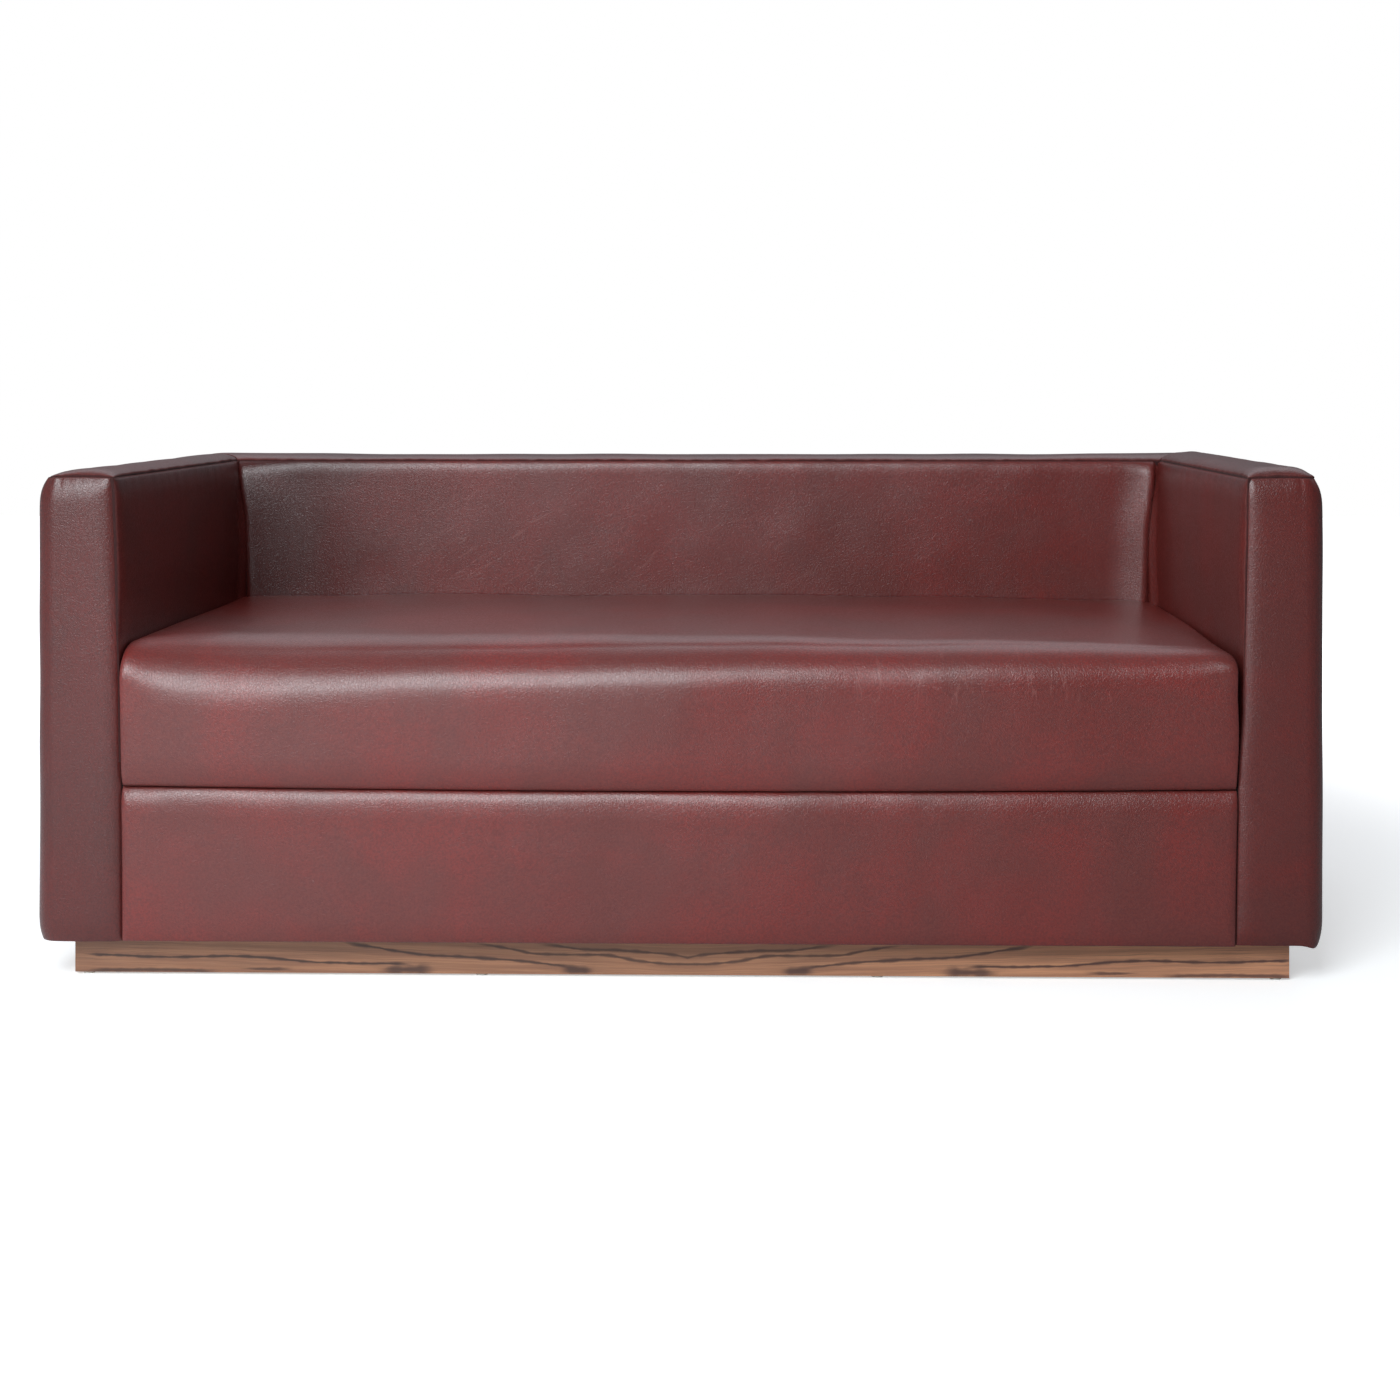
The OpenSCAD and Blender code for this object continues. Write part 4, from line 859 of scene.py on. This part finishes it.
def leaf_noise(along_rate, height, up_rate, **settings):
    """Noise over a leaf, stretched by its rates along and up the leaf."""
    spot = put(veneer_group, "CombineXYZ", X=sums(veneer_group, "MULTIPLY", along, along_rate),
               Y=sums(veneer_group, "MULTIPLY", height, up_rate), Z=seed).outputs[0]
    return put(veneer_group, "TexNoise", Vector=spot, Scale=1.0, **settings).outputs[0]


wander = leaf_noise(26.0, up, 60.0, Detail=4.0, Roughness=0.62)
level = sums(veneer_group, "MULTIPLY_ADD", sums(veneer_group, "SUBTRACT", wander, 0.5), 0.0040, up)
slant = sums(veneer_group, "MULTIPLY_ADD", along, -0.030, level)
hairs = leaf_noise(9.0, slant, 900.0, Detail=3.0)
bands = leaf_noise(4.0, slant, 130.0, Detail=2.0, Roughness=0.5)
tone = stepped(veneer_group, bands, 0.36, 0.62)
tone = blended(veneer_group, tone, rgb(183, 131, 99), rgb(160, 112, 86))
tone = blended(veneer_group, stepped(veneer_group, hairs, 0.42, 0.75, 0.0, 0.65), tone, rgb(122, 88, 70))
curve_gain = 10.0  # heights go into the curves tenfold, because a curve spans 0 to 1
for number, (line, half, fade, strength) in enumerate(streaks):
    course = put(veneer_group, "FloatCurve", in1=along)
    points = course.mapping.curves[0].points
    points[0].location = (line[0][0], line[0][1] * curve_gain)
    points[1].location = (line[-1][0], line[-1][1] * curve_gain)
    for place, height in line[1:-1]:
        points.new(place, height * curve_gain)
    course.mapping.update()
    centre = sums(veneer_group, "MULTIPLY", course.outputs[0], 1.0 / curve_gain)
    away = sums(veneer_group, "ABSOLUTE", sums(veneer_group, "SUBTRACT", level, centre))
    swell = leaf_noise(34.0, float(number), 1.0, Detail=1.0)
    width = sums(veneer_group, "MULTIPLY", stepped(veneer_group, swell, 0.3, 0.75, 0.9, 2.5), half)
    body = stepped(veneer_group, sums(veneer_group, "DIVIDE", away, width), 0.2, 1.25, strength, 0.0)
    start = stepped(veneer_group, along, line[0][0] - 0.001, line[0][0] + fade) if line[0][0] > 0.0 else 1.0
    end = stepped(veneer_group, along, line[-1][0] - fade, line[-1][0] + 0.001, 1.0, 0.0)
    body = sums(veneer_group, "MULTIPLY", body, sums(veneer_group, "MULTIPLY", start, end))
    tone = blended(veneer_group, body, tone, rgb(72, 50, 47))
feed(veneer_group, g_out, Color=tone, Pores=hairs)


def veneer(name, axis, joint, seed, painted_light_rate=0.0):
    """A leaf's finish: grain along one axis, mirrored at the joint, and paler outwards by the given share
    per metre, or darker where it is negative: painted light and shade.
    """
    material, tree, shader = finish_of(name, roughness=0.36, Coat_Weight=0.3, Coat_Roughness=0.22)
    split = put(tree, "SeparateXYZ", Vector=object_point(tree))
    away = sums(tree, "ABSOLUTE", sums(tree, "SUBTRACT", split.outputs[axis], joint))
    leaf = put(tree, "Group", node_tree=veneer_group, Along=away, Up=split.outputs["Z"], Seed=seed)
    painted_light = sums(tree, "MULTIPLY_ADD", away, painted_light_rate, 1.0)
    tone = put(tree, "VectorMath", operation="SCALE", in0=leaf.outputs["Color"], Scale=painted_light)
    feed(tree, shader, Base_Color=tone.outputs[0])
    bumped(tree, shader, 0.25, 0.0003, leaf.outputs["Pores"])
    return material


front_joint = 0.012
# The left front leaf darkens and the right front leaf pales away from the joint: painted shade and painted
# light for how the light falls across the plinth.
wear(["front_veneer_left"], veneer("front left leaf", "X", front_joint, 3.0, -0.16))
wear(["front_veneer_right"], veneer("front right leaf", "X", front_joint, 3.0, 0.86))
wear(["back_veneer"], veneer("back leaf", "X", -0.030, 7.0))
wear(["left_veneer", "right_veneer"], veneer("side leaves", "Y", -0.420, 5.0))


# Glides: small discs of white nylon, 3 mm thick, nailed under the plinth's boards. They keep the
# veneer clear of the floor.
wear(["floor_glides"],
     mottled("white nylon", rgb(232, 231, 226), rgb(206, 204, 198), 500.0, 3.0, roughness=0.45))


# Studio: white floor and backdrop, two soft boxes at the upper left front, a weak low panel in front
# and one behind, and a world that is brighter on the left and behind. The camera stands at the height
# and place that the photograph's straight edges give.
def lamp(name, place, aim, size, power):
    """A soft box: a square area lamp at a place, turned to its aim."""
    light = bpy.data.lights.new(name, "AREA")
    light.shape, light.size, light.size_y = "RECTANGLE", size[0], size[1]
    light.energy = power
    light.color = (0.91, 0.97, 1.0)
    holder = placed(name, light)
    turn = np.array(aim, float) - np.array(place, float)
    pitch = math.atan2(math.hypot(turn[0], turn[1]), -turn[2])
    holder.location = place
    holder.rotation_euler = (pitch, 0.0, math.atan2(-turn[0], turn[1]))
    holder.visible_camera = False


lamp("main soft box", (-0.95, -3.74, 3.30), (-0.1, -0.2, 0.40), (2.05, 2.3), 147.0)
lamp("left soft box", (-2.20, -3.50, 1.95), (-0.3, -0.2, 0.40), (1.3, 1.7), 43.0)
lamp("low front panel", (-0.70, -3.30, 0.50), (-0.2, 0.2, 0.5), (1.5, 1.0), 4.6)
lamp("low rear panel", (0.20, 3.60, 0.40), (0.0, 0.38, 0.36), (3.0, 0.5), 30.0)

world = bpy.data.worlds.new("studio")
bpy.context.scene.world = world
world.use_nodes = True
tree = world.node_tree
background = tree.nodes["Background"]
way = put(tree, "SeparateXYZ", Vector=put(tree, "TexCoord").outputs["Generated"])
to_left = stepped(tree, way.outputs["X"], 0.15, -0.75, 0.085, 0.24)
behind = sums(tree, "MULTIPLY", stepped(tree, way.outputs["Y"], 0.12, 0.65, 0.0, 1.05),
              sums(tree, "MULTIPLY", stepped(tree, way.outputs["Z"], 0.10, 0.75, 0.05, 1.0),
                   stepped(tree, way.outputs["Z"], 0.80, 0.97, 1.0, 0.0)))
overhead = stepped(tree, way.outputs["Z"], 0.4, 0.95, 0.0, 0.16)
strength = sums(tree, "ADD", sums(tree, "MAXIMUM", to_left, behind), overhead)
feed(tree, background, Strength=strength, Color=(0.90, 0.94, 1.0, 1.0))
seen = put(tree, "LightPath")
white = put(tree, "Background", Color=(1.0, 1.0, 1.0, 1.0), Strength=1.0)
mixed = put(tree, "MixShader", in0=seen.outputs["Is Camera Ray"], in1=background.outputs[0],
            in2=white.outputs[0])
feed(tree, tree.nodes["World Output"], Surface=mixed.outputs[0])

floor_mesh = bpy.data.meshes.new("studio_floor")
floor_mesh.from_pydata([(-9, -9, 0), (9, -9, 0), (9, 9, 0), (-9, 9, 0)], [], [(0, 1, 2, 3)])
floor = placed("studio_floor", floor_mesh)
paper, tree, shader = finish_of("white paper floor", roughness=0.9)
spot = object_point(tree)
# For light that bounces off it the floor is darker to the right: painted shade that dims the bounce on the
# object's right side, while the camera sees the floor white.
shade = stepped(tree, put(tree, "SeparateXYZ", Vector=spot).outputs["X"], -0.9, 1.1, 0.9, 0.38)
feed(tree, shader, Base_Color=put(tree, "CombineColor", in0=shade, in1=shade, in2=shade).outputs[0])
far = stepped(tree, put(tree, "VectorMath", operation="LENGTH", in0=spot).outputs["Value"],
              1.2, 2.4, 0.45, 1.0)
seen = put(tree, "LightPath")
glow = put(tree, "Emission", Color=(1.0, 1.0, 1.0, 1.0), Strength=far)
plain = put(tree, "BsdfDiffuse", Color=(0.9, 0.9, 0.9, 1.0))
both = put(tree, "AddShader", in0=plain.outputs[0], in1=glow.outputs[0])
extra = put(tree, "MixShader", in0=seen.outputs["Is Camera Ray"], in1=shader.outputs[0],
            in2=both.outputs[0])
feed(tree, tree.nodes["Material Output"], Surface=extra.outputs[0])
floor_mesh.materials.append(paper)

lens = bpy.data.cameras.new("camera")
lens.lens, lens.sensor_width = 49.82, 36.0
lens.shift_x, lens.shift_y = -0.03196, -0.22469
camera = placed("camera", lens)
camera.location = (0.1394, -3.0076, 0.8162)
camera.rotation_euler = (math.radians(90.0), 0.0, math.radians(1.04))
bpy.context.scene.camera = camera
bpy.context.scene.view_settings.view_transform = "Standard"
